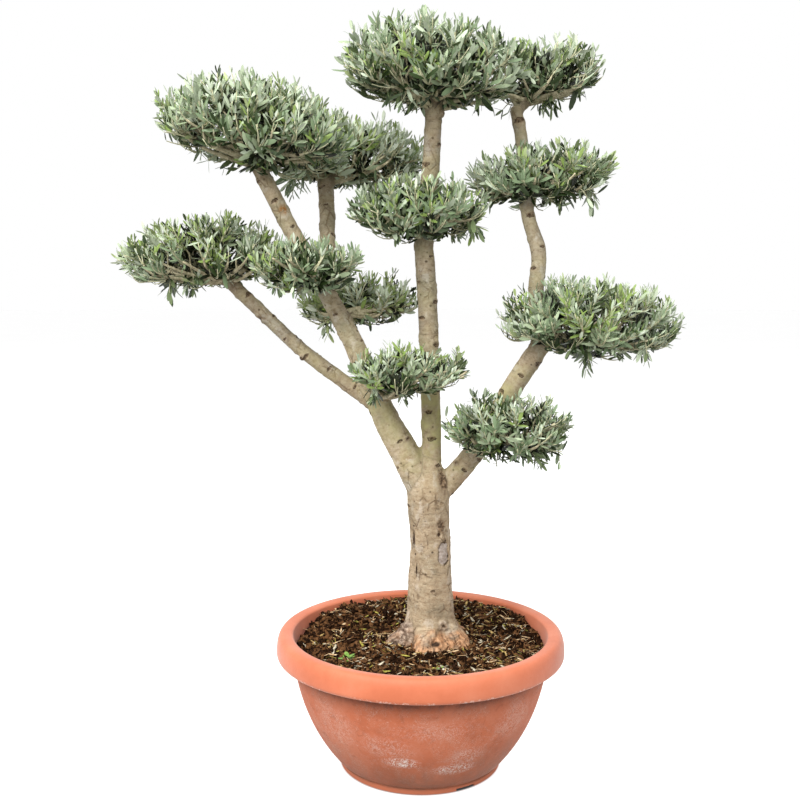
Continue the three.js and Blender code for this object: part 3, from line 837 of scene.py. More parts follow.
barkMarks = [  # healed places: middle, half height, half width, kind
    ((0.049, -0.030, 0.449), 0.026, 0.0135, "scar"),
    ((-0.0135, -0.022, 0.480), 0.024, 0.0042, "split"),
    ((-0.0175, -0.018, 0.460), 0.014, 0.0030, "split"),
    ((-0.0080, -0.029, 0.415), 0.020, 0.0026, "split"),
    ((0.0380, -0.036, 0.492), 0.006, 0.0045, "split"),
    ((-0.275, -0.035, 1.147), 0.014, 0.010, "rust"),
    ((-0.242, -0.004, 0.853), 0.006, 0.006, "stub"),
    ((0.0530, -0.048, 0.304), 0.010, 0.011, "stub"),
    ((0.0350, -0.075, 0.279), 0.007, 0.010, "split"),
    ((0.040, -0.012, 1.338), 0.007, 0.007, "stub"),
    ((0.0660, -0.022, 0.640), 0.005, 0.006, "stub"),
    ((-0.0270, -0.028, 0.690), 0.005, 0.007, "stub"),
    ((-0.010, -0.036, 0.548), 0.0014, 0.020, "crease"),
    ((0.008, -0.038, 0.388), 0.0012, 0.018, "crease"),
    ((0.030, -0.038, 0.366), 0.0012, 0.016, "crease"),
    ((-0.006, -0.034, 0.350), 0.0012, 0.014, "crease"),
    ((0.012, -0.040, 0.520), 0.0012, 0.010, "crease"),
    ((0.036, -0.036, 0.335), 0.0012, 0.014, "crease"),
    ((0.047, -0.030, 0.604), 0.026, 0.010, "flakes"),
    ((0.042, -0.034, 0.508), 0.016, 0.011, "flakes"),
]
footKnees = [  # root knees round the foot: middle, size, lift; the first is a ringed burl
    ((-0.054, -0.026, 0.273), 0.042, 0.009), ((0.004, -0.068, 0.268), 0.040, 0.007),
    ((0.050, -0.066, 0.264), 0.026, 0.006), ((0.078, -0.040, 0.272), 0.036, 0.009),
    ((0.104, 0.000, 0.266), 0.030, 0.006), ((0.020, 0.085, 0.270), 0.040, 0.009),
    ((-0.056, 0.050, 0.270), 0.036, 0.009), ((-0.062, 0.020, 0.262), 0.022, 0.003),
    ((0.082, 0.060, 0.268), 0.034, 0.007),
]
farOff = 3.0  # stands for no knot or mark near


def limbMesh(line, sides, flared=False):  # a ring drawn along the line, round at its end
    places = []
    for c, r, a, x, y in zip(*[line[k] for k in ("centres", "radii", "along", "right", "back")]):
        turn = Matrix((x, y, a)).transposed().to_4x4()
        places.append(Matrix.Translation(c) @ turn @ Matrix.Diagonal((r, r, 1, 1)))
    end, r = places[-1], line["radii"][-1]
    for ahead, size in ((0.45, 0.8), (0.7, 0.45)):
        places.append(end @ Matrix.Translation((0, 0, ahead * r)) @ Matrix.Diagonal((size, size, 1, 1)))
    bm = bmesh.new()
    ring = bmesh.ops.create_circle(bm, cap_ends=True, segments=sides, radius=1, matrix=places[0])["verts"]
    cap = ring[0].link_faces[0]
    for last, place in zip(places, places[1:]):
        grown = bmesh.ops.extrude_face_region(bm, geom=[cap])["geom"]
        ring = [g for g in grown if isinstance(g, bmesh.types.BMVert)]
        cap = [g for g in grown if isinstance(g, bmesh.types.BMFace)][0]
        bmesh.ops.transform(bm, matrix=place @ last.inverted(), verts=ring)
    if flared:
        flareFoot(bm.verts)
    return meshOf("limb", bm)


def flareFoot(verts):  # the root flare, with the same lobes as the solid
    rootX, rootY, rootZ = trunkRoot
    for v in verts:
        height = max(v.co.z - rootZ, 0)
        x, y = v.co.x - rootX, v.co.y - rootY
        lobes = math.cos(rootFlare["lobes"] * math.atan2(y, -x) + rootFlare["turn"])
        swell = rootFlare["girth"] * (1 + rootFlare["depth"] * lobes)
        reach = math.hypot(x, y)
        if reach > rootFlare["core"]:
            grow = 1 + math.exp(-height / rootFlare["height"]) * swell / reach
            v.co.x, v.co.y = rootX + x * grow, rootY + y * grow


def barkDraft(hubs):
    lines = {}
    for name, limb in limbs.items():
        places, radii, swell, steps = limb["places"], limb["radii"], barkForm["limbSwell"], limbSteps
        if name == "trunk":
            x, y, z = trunkRoot
            places, radii = [(x, y, z - rootFlare["sunk"]), *places], [radii[0], *radii]
            swell, steps = barkForm["trunkSwell"], 80
        lines[name] = limbLine(places, [r + swell for r in radii], steps)
    for name, (foot, hub, mains) in hubs.items():
        places = [foot, foot * 0.5 + hub * 0.5 + (0, 0, -0.004), hub]
        slim = min(1, 0.05 / np.linalg.norm(hub - foot)) ** 0.7
        radii = [growth["stemRadius"] * k * slim for k in (1.25, 1, 0.85)]
        lines["stem_" + name] = limbLine(places, radii, 10)
        for i, path in enumerate(mains[:, :barkSteps + 1]):
            lines[f"main_{name}_{i}"] = limbLine(path, mainRadii[:barkSteps + 1] + barkForm["twigSwell"], 10)
    bm = bmesh.new()
    for name, line in lines.items():
        sides = 40 if name == "trunk" else 24 if name in limbs else 12
        part = limbMesh(line, sides, name == "trunk")
        bm.from_mesh(part)
        bpy.data.meshes.remove(part)
    return bm, lines


def relax(points, pairs, weight, rounds):  # evens out the skin where weight is high
    count = np.maximum(np.bincount(pairs.ravel(), minlength=len(points)), 1)[:, None]
    for _ in range(rounds):
        total = np.zeros_like(points)
        for axis in range(3):
            total[:, axis] = np.bincount(pairs[:, 0], points[pairs[:, 1], axis], len(points))
            total[:, axis] += np.bincount(pairs[:, 1], points[pairs[:, 0], axis], len(points))
        points = points + weight[:, None] * 0.5 * (total / count - points)
    return points


def nearestWood(points, lines):  # the limb that each point of the skin belongs to
    count, margin = len(points), 0.12
    best, second = np.full(count, 9.0), np.full(count, 9.0)
    radius, share, pale, mossy = (np.zeros(count) for _ in range(4))
    weight = np.full(count, 1e-6)
    place, along = np.zeros((count, 3)), np.zeros((count, 3))
    shift = 0.0
    for name, line in lines.items():
        low, high = line["centres"].min(axis=0) - margin, line["centres"].max(axis=0) + margin
        inside = np.where(((points > low) & (points < high)).all(axis=1))[0]
        apart = np.linalg.norm(points[inside][:, None] - line["centres"][None], axis=2) - line["radii"][None]
        j = apart.argmin(axis=1)
        gap = apart[np.arange(len(inside)), j]
        offset = points[inside] - line["centres"][j]
        run, x, y = ((offset * line[k][j]).sum(axis=1) for k in ("along", "right", "back"))
        near = np.exp(-gap / 0.010)
        weight[inside] += near
        pale[inside] += near * limbs.get(name, {}).get("pale", 0)
        mossy[inside] += near * limbs.get(name, {}).get("mossy", 0)
        won = gap < best[inside]
        second[inside] = np.where(won, best[inside], np.minimum(second[inside], gap))
        at = inside[won]
        best[at] = gap[won]
        place[at] = np.stack([x, y, run + line["run"][j] + shift], axis=-1)[won]
        radius[at] = line["radii"][j][won]
        share[at] = line["shares"][j][won] if name in limbs else 1.0
        along[at] = line["along"][j][won]
        shift += line["run"][-1] + 0.37  # so that no two limbs share a pattern
    return {
        "place": place, "radius": radius, "share": share, "along": along, "other": second,
        "pale": pale / weight, "mossy": mossy / weight,
    }


def knotPlaces(random):  # buds and twigs once grew in golden-angle turns up each limb
    places = []
    for name, line in limbLines.items():
        run, turn = barkForm["knotStart"], random.uniform(*startTurn)
        while run < line["run"][-1] - 0.02:
            c, a, x, y = (between(run, line["run"], line[k]) for k in ("centres", "along", "right", "back"))
            out = x * math.cos(turn) + y * math.sin(turn)
            size = random.uniform(*barkForm["knotSize"])
            size *= barkForm["bigScale"] if random.random() < barkForm["bigKnots"] else 1
            if name != "trunk" or run > 2 * barkForm["knotStart"]:
                places.append((c + out * np.interp(run, line["run"], line["radii"]), unit(a), size))
            run += random.uniform(*barkForm["knotEvery"]) * (barkForm["trunkGap"] if name == "trunk" else 1)
            turn += goldenAngle + random.uniform(-0.5, 0.5)
    return places


def barkGround(tree, place, mottle):  # patches, bleached places, the tone of each limb and painted light on limbs in cast shade
    colour = tones(tree, grain(tree, place, 15, 4, 0.6), (0.30, (150, 141, 122)), (0.45, (176, 161, 138)),
                   (0.58, (186, 169, 146)), (0.72, (170, 150, 122)))
    shade = tones(tree, mottle, (0.32, (176, 156, 130)), (0.46, (228, 219, 206)), (0.62, (255, 253, 248)))
    colour = blend(tree, 0.75, colour, shade, "MULTIPLY")
    bleached = band(tree, longGrain(tree, place, 0.7, 36, 6, 0.65), (0.54, 0), (0.62, 0.55))
    colour = stained(tree, bleached, colour, 198, 186, 170)
    colour = blend(tree, ownValue(tree, "limb"), colour, paint(214, 221, 227), "MULTIPLY")
    # painted light: limbs lying in cast shade are made paler
    return blend(tree, ownValue(tree, "pale"), colour, (1.20, 1.27, 1.33, 1), "MULTIPLY")


def barkLines(tree, place, broken, colour):  # creases round the limb, streaks, specks, plates and pores
    rings = longGrain(tree, place, 5, 13, 3, 0.5, 0.3)
    rings = times(tree, band(tree, rings, (0.484, 0), (0.496, 1), (0.502, 1), (0.512, 0)), broken)
    colour = stained(tree, times(tree, rings, 0.6), colour, 96, 78, 58)
    streaks = longGrain(tree, place, 0.22, 42, 5, 0.6)
    streaks = tones(tree, streaks, (0.36, (206, 200, 190)), (0.58, (255, 252, 246)))
    colour = blend(tree, 0.5, colour, streaks, "MULTIPLY")
    hairlines = band(tree, longGrain(tree, place, 6, 34, 4, 0.6, 0.4), (0.59, 0), (0.66, 0.38))
    colour = stained(tree, hairlines, colour, 124, 104, 80)
    specks = patchy(tree, place, (300, 2), (0.64, 0), (0.70, 1))
    colour = stained(tree, times(tree, specks, 0.5), colour, 74, 56, 38)
    cells = {"Vector": stretched(tree, place, (1, 1, 0.8)), "Scale": 34, "Detail": 2, "Roughness": 0.5}
    plates = addNode(tree, "TexVoronoi", cells, feature="DISTANCE_TO_EDGE").outputs["Distance"]
    plates = band(tree, plates, (0.0, 1), (0.020, 0.8), (0.045, 0))
    plates = times(tree, plates, patchy(tree, place, (21, 3, 0.6), (0.52, 0), (0.60, 0.75)))
    colour = stained(tree, plates, colour, 104, 84, 62)
    pores = addNode(tree, "TexVoronoi", {"Vector": place, "Scale": 62}).outputs
    few = band(tree, addNode(tree, "SeparateColor", {0: pores["Color"]}).outputs[0], (0.60, 0), (0.64, 0.85))
    pores = times(tree, band(tree, pores["Distance"], (0.10, 1), (0.20, 0)), few)
    return stained(tree, pores, colour, 58, 42, 28), maths(tree, "ADD", rings, plates)


def barkAge(tree, place, mottle, colour):  # moss, brown tips, the fibrous foot, burls and rust
    mossy = times(tree, ownValue(tree, "moss"), patchy(tree, place, (26, 5), (0.40, 0.1), (0.64, 1)))
    colour = stained(tree, mossy, colour, 174, 168, 118)
    colour = stained(tree, times(tree, ownValue(tree, "tipBrown"), 0.15), colour, 136, 112, 90)
    fibres = grain(tree, ownPlace(tree, "fibrePlace"), 15, 6, 0.7)  # these run down the root flare
    fibrous = tones(tree, fibres, (0.32, (92, 58, 35)), (0.43, (156, 110, 74)), (0.56, (194, 148, 110)),
                    (0.68, (210, 176, 142)))
    dull = patchy(tree, place, (48, 4, 0.6), (0.50, 0), (0.62, 0.7))
    colour = blend(tree, ownValue(tree, "foot"), colour, stained(tree, dull, fibrous, 126, 104, 82))
    knobby = tones(tree, mottle, (0.38, (70, 56, 48)), (0.5, (132, 114, 100)), (0.62, (190, 172, 152)))
    colour = blend(tree, times(tree, ownValue(tree, "burl"), 0.85), colour, knobby)
    rusty = times(tree, ownValue(tree, "rust"), patchy(tree, place, (120, 4), (0.42, 0.1), (0.6, 1)))
    return stained(tree, rusty, colour, 146, 100, 50)


def barkWounds(tree, place, mottle, broken, colour):  # knots, splits, flakes and the scar, with ragged edges and partly painted shade in their hollows
    ragged = maths(tree, "SUBTRACT", grain(tree, place, 170, 5, 0.7), 0.5)
    knot, mark, scar = (maths(tree, "ADD", ownValue(tree, name), times(tree, ragged, wild))
                        for name, wild in (("knotFar", 1.9), ("markFar", 0.9), ("scarFar", 0.35)))
    colour = stained(tree, band(tree, knot, (0.7, 0), (0.92, 0.45), (1.1, 0)), colour, 178, 160, 134)
    brown = times(tree, band(tree, knot, (0.6, 0.5), (1.2, 0)), 0.8)
    colour = stained(tree, brown, colour, 128, 96, 66)
    core = band(tree, knot, (0.26, 0.85), (0.52, 0))
    lid = band(tree, knot, (0.50, 0), (0.66, 1), (0.92, 1), (1.10, 0))
    lid = times(tree, lid, band(tree, ownValue(tree, "knotSide"), (0.05, 0), (0.5, 0.85)))
    halo = times(tree, band(tree, knot, (1.10, 0), (1.2, 0.6), (1.28, 0.6), (1.40, 0)), broken)
    split = band(tree, mark, (0.5, 1), (0.85, 0))
    dry = tones(tree, mottle, (0.4, (152, 138, 126)), (0.6, (192, 180, 170)))
    colour = blend(tree, band(tree, scar, (0.84, 1), (0.90, 0)), colour, dry)
    edge = band(tree, scar, (0.84, 0), (0.92, 0.9), (0.97, 0.9), (1.06, 0))
    edge = times(tree, edge, patchy(tree, place, (90, 3), (0.42, 0.15), (0.52, 1)))
    flaky = ownValue(tree, "flaky")
    colour = stained(tree, times(tree, flaky, 0.6), colour, 132, 102, 74)
    flaky = times(tree, flaky, band(tree, longGrain(tree, place, 1.6, 150, 5, 0.7), (0.47, 0), (0.55, 1)))
    dark = core
    for other in (lid, halo, split, edge, times(tree, flaky, 0.8), ownValue(tree, "creviceShade")):
        dark = maths(tree, "MAXIMUM", dark, other)
    # near-black in knot pits, splits, scar edges, flakes and crevices: partly dark wood, partly painted shade
    hollow = tones(tree, mottle, (0.4, (38, 26, 17)), (0.6, (70, 50, 34)))
    return blend(tree, dark, colour, hollow), dark


def barkMaterial():
    material, tree, shader = newMaterial("bark", Specular_IOR_Level=0.25)
    place = ownPlace(tree, "barkPlace")
    mottle = longGrain(tree, place, 1.4, 105, 7, 0.7)
    broken = patchy(tree, place, (34, 4, 0.6), (0.52, 0), (0.66, 1))
    colour, furrows = barkLines(tree, place, broken, barkGround(tree, place, mottle))
    colour, dark = barkWounds(tree, place, mottle, broken, barkAge(tree, place, mottle, colour))
    coat(tree, shader, colour, band(tree, mottle, (0.35, 0.92), (0.65, 0.7)))
    height = maths(tree, "SUBTRACT", mottle, times(tree, furrows, 0.7))
    height = maths(tree, "SUBTRACT", height, times(tree, dark, 0.8))
    height = maths(tree, "ADD", height, times(tree, grain(tree, place, 420, 3), 0.35))
    bumped(tree, shader, height, 0.8, 0.0020)
    return material


def fusedBark(hubs):  # one even skin over all the limbs
    bm, lines = barkDraft(hubs)
    draft = bpy.data.objects.new("barkDraft", meshOf("barkDraft", bm))
    bpy.context.scene.collection.objects.link(draft)
    fuse = draft.modifiers.new("fuse", "REMESH")
    fuse.mode, fuse.voxel_size = "VOXEL", barkForm["voxel"]
    mesh = finalMesh(draft)
    bpy.data.objects.remove(draft)
    points = readBack(mesh.vertices, "co", 3).astype(float)
    pairs = readBack(mesh.edges, "vertices", 2, np.int32)
    points = relax(points, pairs, np.full(len(points), 0.7), 3)
    joint = smoothStep(nearestWood(points, lines)["other"], *barkForm["jointEasing"])
    points = relax(points, pairs, joint, 26)
    mesh.vertices.foreach_set("co", points.astype(np.float32).ravel())
    mesh.update()
    return mesh, points, readBack(mesh.vertices, "normal", 3), nearestWood(points, lines)


def knotRelief(points, lift, looks):
    random = np.random.default_rng(31)
    for at, along, size in knotPlaces(random):
        side = random.choice([-1, 1])
        index = np.where(np.abs(points - at).max(axis=1) < size * 3.4)[0]
        offset = points[index] - at
        u = offset @ along
        tall, wide = (size * share for share in barkForm["knotFlat"])
        far = np.hypot(u / tall, np.linalg.norm(offset - np.outer(u, along), axis=1) / wide)
        bulge = barkForm["knotLip"] * bell(far - 1.1, 0.6) - barkForm["knotDepth"] * bell(far, 0.6)
        lift[index] += min(size / 0.0045, 1.3) * bulge
        closer = far < looks["knotFar"][index]
        looks["knotSide"][index[closer]] = 0.5 + 0.5 * (u / tall / np.maximum(far, 0.2))[closer] * side
        keepLow(looks["knotFar"], index, far)


def markRelief(points, normals, along, lift, looks):
    for at, tall, wide, kind in barkMarks:
        at = np.array(at)
        index = np.where(np.abs(points - at).max(axis=1) < 2.4 * max(tall, wide) + 0.012)[0]
        nearest = index[np.argmin(np.linalg.norm(points[index] - at, axis=1))]
        near = points[index]
        offset = near - points[nearest]
        u, w = offset @ along[nearest], offset @ np.cross(along[nearest], normals[nearest])
        front = normals[index] @ normals[nearest] > 0.1
        far = np.where(front, np.hypot(u / tall, w / wide), farOff)
        if kind == "scar":
            square = (np.abs(u / tall) ** 4 + np.abs(w / wide) ** 4) ** 0.25
            far = np.where(front, square * (1 + 0.2 * noiseAt(near * 120)), farOff)
            lift[index] += barkForm["scarLip"] * bell(far - 1.2, 0.18) - barkForm["scarPit"] * (far < 0.95)
            keepLow(looks["scarFar"], index, far)
        elif kind == "split":
            lift[index] += barkForm["splitLip"] * bell(far - 1.5, 0.4) - barkForm["splitPit"] * bell(far, 0.9)
            keepLow(looks["markFar"], index, far)
        elif kind == "crease":
            u = u + 0.004 * noiseAt(near * 60)
            ends = np.maximum(np.abs(w) / wide - 0.6, 0) * 2.5
            far = np.where(front, np.hypot(u / (1.6 * tall), ends), farOff)
            lift[index] -= barkForm["creasePit"] * bell(far, 1)
            keepLow(looks["markFar"], index, far + 0.42)
        elif kind == "stub":
            lift[index] += barkForm["stubRise"] * np.exp(-(far**4)) - barkForm["stubPit"] * bell(far, 0.5)
            keepLow(looks["knotFar"], index, far * 1.5)
            keepHigh(looks["burl"], index, smoothStep(far, 1.4, 0.7) * 0.6)
        elif kind == "rust":
            keepHigh(looks["rust"], index, smoothStep(far, 1.2, 0.3))
        else:
            within = smoothStep(far, 1.2, 0.5)
            lift[index] += barkForm["flakes"] * within * noiseAt(near * (170, 170, 260))
            keepHigh(looks["flaky"], index, within)


def footRelief(points, lift, looks):  # fibrous bark and root knees at the ground
    x, y, z = trunkRoot
    low = smoothStep(points[:, 2] - z, barkForm["footHeight"], 0.0)
    index = np.where(low > 0)[0]
    at, low = points[index], low[index]
    height = at[:, 2] - z
    angle = np.arctan2(at[:, 1] - y, at[:, 0] - x)
    rib = np.abs(noiseAt(around(angle, 2.2, height * 14)))
    fine = noiseAt(around(angle, 9, height * 22))
    rough = barkForm["footRibs"] * rib - barkForm["footSunk"] + barkForm["footGrain"] * noiseAt(at * 130)
    lift[index] += low * (rough + barkForm["footFibres"] * fine)
    crease = smoothStep(rib, 0.08, 0.01) * smoothStep(height, 0.045, 0.015)
    crease = np.maximum(crease, 0.8 * smoothStep(np.abs(fine), 0.09, 0.01) * smoothStep(height, 0.040, 0.010))
    for i, (middle, size, rise) in enumerate(footKnees):
        far = np.linalg.norm(at - np.array(middle), axis=1) / size * (1 + 0.18 * noiseAt(at * 55 + i))
        lift[index] += rise * np.clip(1 - far**2, 0, 1) ** 0.7 * (1 + 0.3 * noiseAt(at * 110))
        lift[index] -= barkForm["kneeEdge"] * bell(far - 1, 0.10)
        edge = bell(far - 1, 0.07) * smoothStep(noiseAt(at * 45 + 9 + i), -0.1, 0.25)
        crease = np.maximum(crease, edge * (1 if i == 0 else 0.6))
        if i == 0:
            rings = far * barkForm["kneeTurns"]
            lift[index] += barkForm["kneeRings"] * np.sin(rings) * (far < 1)
            crease = np.maximum(crease, (0.5 + 0.5 * np.sin(rings + 3)) ** 4 * (far < 0.95) * 0.7)
            uneven = 0.6 + 0.4 * smoothStep(noiseAt(at * 50), -0.4, 0.1)
            keepHigh(looks["burl"], index, smoothStep(far, 1.15, 0.85) * uneven)
    ragged = 0.018 * noiseAt(at * 24) + 0.014 * noiseAt(at * 80)
    looks["foot"][index] = 0.9 * smoothStep(height + ragged, 0.042, 0.014)
    # painted shade in the creases between the ribs and round the root knees
    looks["creviceShade"][index] = crease * smoothStep(height, 0.055, 0.03) * 0.9


def growBark(hubs):
    mesh, points, normals, near = fusedBark(hubs)
    count, place = len(points), near["place"]
    thick = np.clip(near["radius"] / barkForm["thickLimb"], 0.2, 1.3)
    lift = barkForm["lump"] * thick * (noiseAt(place * 26) + 0.6 * noiseAt(place * 61 + 7))
    lift += barkForm["wrinkle"] * thick * noiseAt(place * (36, 36, 240))
    looks = {name: np.full(count, farOff) for name in ("knotFar", "markFar", "scarFar")}
    looks.update({name: np.zeros(count) for name in ("burl", "rust", "flaky", "foot", "creviceShade", "knotSide")})
    knotRelief(points, lift, looks)
    markRelief(points, normals, near["along"], lift, looks)
    footRelief(points, lift, looks)
    points = points + normals * lift[:, None]
    mesh.vertices.foreach_set("co", points.astype(np.float32).ravel())

    # what the material reads: age by height, painted light on limbs in cast shade, and places to lay its
    # grain along
    x, y, z = points.T
    looks["moss"] = (0.4 + 0.6 * near["mossy"]) * bell(z - 0.71, 0.10) + 0.2 * (z > 0.62)
    looks["pale"] = near["pale"]
    looks["limb"] = smoothStep(z, 0.62, 0.98) * (1 - near["pale"])
    looks["tipBrown"] = smoothStep(near["share"], 0.72, 1.0) * (z > 0.66)
    x, y, z = (points - np.array(trunkRoot)).T
    reach = np.maximum(np.hypot(x, y), 0.001)
    places = {"barkPlace": place, "fibrePlace": np.stack([x / reach, y / reach, 5 * z], axis=-1)}
    for name, values in looks.items():
        mesh.attributes.new(name, "FLOAT", "POINT").data.foreach_set("value", values.astype(np.float32))
    for name, values in places.items():
        made = mesh.attributes.new(name, "FLOAT_VECTOR", "POINT")
        made.data.foreach_set("vector", values.astype(np.float32).ravel())
    mesh.shade_smooth()
    mesh.name = "bark"
    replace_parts(newPiece("bark", mesh, [barkMaterial()]), *limbs)
    print("bark skin:", len(mesh.polygons), "faces")


# bowl: a turned profile with a rolled rim, a foot ring and three drain notches

bowl = {
    "rimRadius": 0.300, "rimTop": 0.283, "rimBottom": 0.235, "mouthRadius": 0.265, "neckRadius": 0.267,
    "footRadius": 0.168, "footHeight": 0.011, "footEdge": 0.0015, "footGroove": 0.0012,
    "wall": 0.005, "floor": 0.009, "belly": (0.250, 0.097), "wallSteps": 22,
    "lipShoulder": 0.016, "lipUnder": 0.007, "lipCorner": 0.010, "steps": 144,
    "notchAngles": (-57, 63, 183), "notchWidth": 0.044, "notchHeight": 0.006, "notchDepth": 0.020,
}
limeStains = [  # middle of a stain on the wall, its reach across and up, and its strength
    ((-0.036, -0.220, 0.091), (0.042, 0.040, 0.016), 1.0),
    ((0.066, -0.200, 0.072), (0.054, 0.040, 0.018), 1.0),
    ((0.088, -0.210, 0.100), (0.050, 0.040, 0.026), 0.40),
    ((-0.062, -0.225, 0.125), (0.070, 0.040, 0.034), 0.26),
    ((0.030, -0.240, 0.165), (0.120, 0.040, 0.026), 0.20),
    ((-0.160, -0.180, 0.150), (0.055, 0.060, 0.060), 0.20),
    ((0.180, -0.170, 0.160), (0.060, 0.060, 0.050), 0.24),
    ((0.100, 0.190, 0.080), (0.060, 0.040, 0.030), 0.8),
    ((-0.200, 0.080, 0.085), (0.040, 0.060, 0.030), 0.7),
]
# dirt and painted shade low on the front and right of the body
dirtAndShadeStains = [
    ((0.150, -0.140, 0.070), (0.120, 0.110, 0.075), 0.34),
    ((0.020, -0.180, 0.040), (0.110, 0.060, 0.040), 0.26),
]


def arc(start, pull, end, steps):
    shares = (i / steps for i in range(steps + 1))
    return [tuple((1 - t) ** 2 * a + 2 * (1 - t) * t * b + t * t * c for a, b, c in zip(start, pull, end))
            for t in shares]


def wallArc(inset, lift=0.0):
    start = (bowl["footRadius"] - inset, bowl["footHeight"] + lift)
    pull, end = (bowl["belly"][0] - inset, bowl["belly"][1]), (bowl["neckRadius"] - inset, bowl["rimBottom"])
    return arc(start, pull, end, bowl["wallSteps"])


def turned(profile, steps):  # a profile of radius and height spun about the axis
    bm = bmesh.new()
    verts = [bm.verts.new((r, 0, z)) for r, z in profile]
    edges = [bm.edges.new(pair) for pair in zip(verts, verts[1:])]
    spin = {"cent": (0, 0, 0), "axis": (0, 0, 1), "angle": 2 * math.pi, "steps": steps}
    bmesh.ops.spin(bm, geom=verts + edges, use_merge=True, **spin)
    bmesh.ops.remove_doubles(bm, verts=bm.verts, dist=1e-5)
    bmesh.ops.recalc_face_normals(bm, faces=bm.faces)
    return bm


def stainMask(tree, place, stains):
    total = None
    for middle, reach, strength in stains:
        scale = [1 / r for r in reach]
        local = stretched(tree, place, scale, [-m * s for m, s in zip(middle, scale)])
        one = band(tree, lengthOf(tree, local), (0.45, strength), (1.0, 0))
        total = one if total is None else maths(tree, "MAXIMUM", total, one)
    return total


def rimLook(tree, place, cloudy):
    colour = tones(tree, cloudy, (0.35, (188, 102, 68)), (0.5, (197, 110, 76)), (0.68, (202, 120, 88)))
    edge = band(tree, heightOf(tree, place), (0.2366, 1), (0.2400, 0))
    chips = times(tree, edge, patchy(tree, place, (170, 4), (0.56, 0), (0.60, 1)))
    colour = stained(tree, times(tree, chips, 0.85), colour, 236, 222, 210)
    scuffs = band(tree, longGrain(tree, place, 3, 55, 6, 0.7), (0.64, 0), (0.74, 0.4))
    rough = patchy(tree, place, (240, 3), (0.3, 0.48), (0.7, 0.62))
    return stained(tree, scuffs, colour, 176, 96, 66), rough


def bodyLook(tree, place, cloudy):
    colour = tones(tree, cloudy, (0.34, (168, 91, 59)), (0.48, (187, 104, 71)), (0.62, (190, 113, 83)))
    haze = longGrain(tree, place, 0.7, 22, 8, 0.72, 0.6)
    colour = stained(tree, band(tree, haze, (0.50, 0), (0.70, 0.42)), colour, 187, 128, 106)
    worn = patchy(tree, place, (46, 7, 0.75, 1.0), (0.54, 0), (0.66, 0.55))
    colour = stained(tree, worn, colour, 152, 84, 58)

    # lime: thin crooked lines and blots within the stains, and looser lines all over
    scratch = grain(tree, stretched(tree, place, (2.4, 2.4, 1.6)), 96, 9, 0.8, 1.6)
    threads = patchy(tree, place, (52, 4, 0.6, 3.2), (0.455, 0), (0.482, 1), (0.514, 1), (0.541, 0))
    threads = times(tree, threads, band(tree, scratch, (0.42, 0.2), (0.50, 1)))
    blots = maths(tree, "MAXIMUM", threads, band(tree, scratch, (0.55, 0), (0.60, 0.8)))
    colour = stained(tree, times(tree, stainMask(tree, place, limeStains), blots), colour, 238, 228, 220)
    scored = longGrain(tree, place, 1.6, 60, 3, 0.6, 3.2)
    scored = band(tree, scored, (0.482, 0), (0.496, 0.75), (0.504, 0.75), (0.518, 0))
    loose = times(tree, scored, band(tree, haze, (0.46, 0.05), (0.60, 1)))
    colour = stained(tree, loose, colour, 212, 176, 158)

    # pits; painted shade with some dirt under the rim; darker towards the ground; dirt and painted shade low
    # on the front and right; painted shade in the notches
    height = heightOf(tree, place)
    pits = patchy(tree, place, (380, 2), (0.67, 0), (0.72, 0.6))
    colour = stained(tree, pits, colour, 104, 60, 42)
    # painted shade under the overhanging rim, broken up like dirt
    under = band(tree, height, (0.186, 0), (0.208, 0.4), (0.2205, 1))
    under = times(tree, under, band(tree, haze, (0.35, 0.55), (0.6, 0.95)))
    colour = stained(tree, under, colour, 84, 44, 29)
    low = band(tree, height, (0.011, 1), (0.05, 0.5), (0.125, 0))
    low = times(tree, low, band(tree, haze, (0.34, 0.45), (0.60, 0.9)))
    colour = stained(tree, low, colour, 118, 76, 55)
    # dirt and painted shade low on the front and right
    dirtAndShade = times(tree, stainMask(tree, place, dirtAndShadeStains), band(tree, haze, (0.32, 0.35), (0.58, 1)))
    colour = stained(tree, dirtAndShade, colour, 112, 68, 47)
    ring = band(tree, height, (0.0095, 1), (0.0112, 0))
    colour = stained(tree, times(tree, ring, 0.85), colour, 180, 102, 72)
    reach = lengthOf(tree, stretched(tree, place, (1, 1, 0)))
    notchShade = times(tree, ring, band(tree, reach, (0.160, 0.95), (0.1655, 0)))  # painted shade inside the notches and under the foot
    return stained(tree, notchShade, colour, 40, 26, 18), band(tree, scratch, (0.4, 0.62), (0.65, 0.86))


def clayMaterial(name, look, bump, **sockets):
    material, tree, shader = newMaterial(name, Specular_IOR_Level=0.32, **sockets)
    place = objectPlace(tree)
    cloudy, speckle = grain(tree, place, 9, 5, 0.6), grain(tree, place, 240, 3)
    coat(tree, shader, *look(tree, place, cloudy))
    bumped(tree, shader, maths(tree, "ADD", speckle, times(tree, cloudy, 2.0)), bump, 0.001)
    return material


def bowlProfile():
    lip, top, under = bowl["rimRadius"], bowl["rimTop"], bowl["rimBottom"]
    foot, ring, mouth = bowl["footRadius"], bowl["footHeight"], bowl["mouthRadius"]
    rim = arc((lip - bowl["lipUnder"], under), (lip, under), (lip, under + bowl["lipCorner"]), 6)
    rim += arc(rim[-1], (lip, top), (lip - bowl["lipShoulder"], top), 12)[1:]
    rim += arc(rim[-1], (mouth, top), (mouth, top - bowl["lipUnder"]), 8)[1:]
    edge, groove = bowl["footEdge"], bowl["footGroove"]
    profile = [(0, 0), (foot - 0.002, 0), (foot, edge), (foot, ring - edge), (foot - groove, ring)]
    outer = wallArc(0)
    profile += [(foot - 0.0016, ring + 0.001), *outer[1:], (outer[-1][0], under), *rim]
    return profile + [*wallArc(bowl["wall"], bowl["floor"])[::-1], (0, ring + bowl["floor"])]


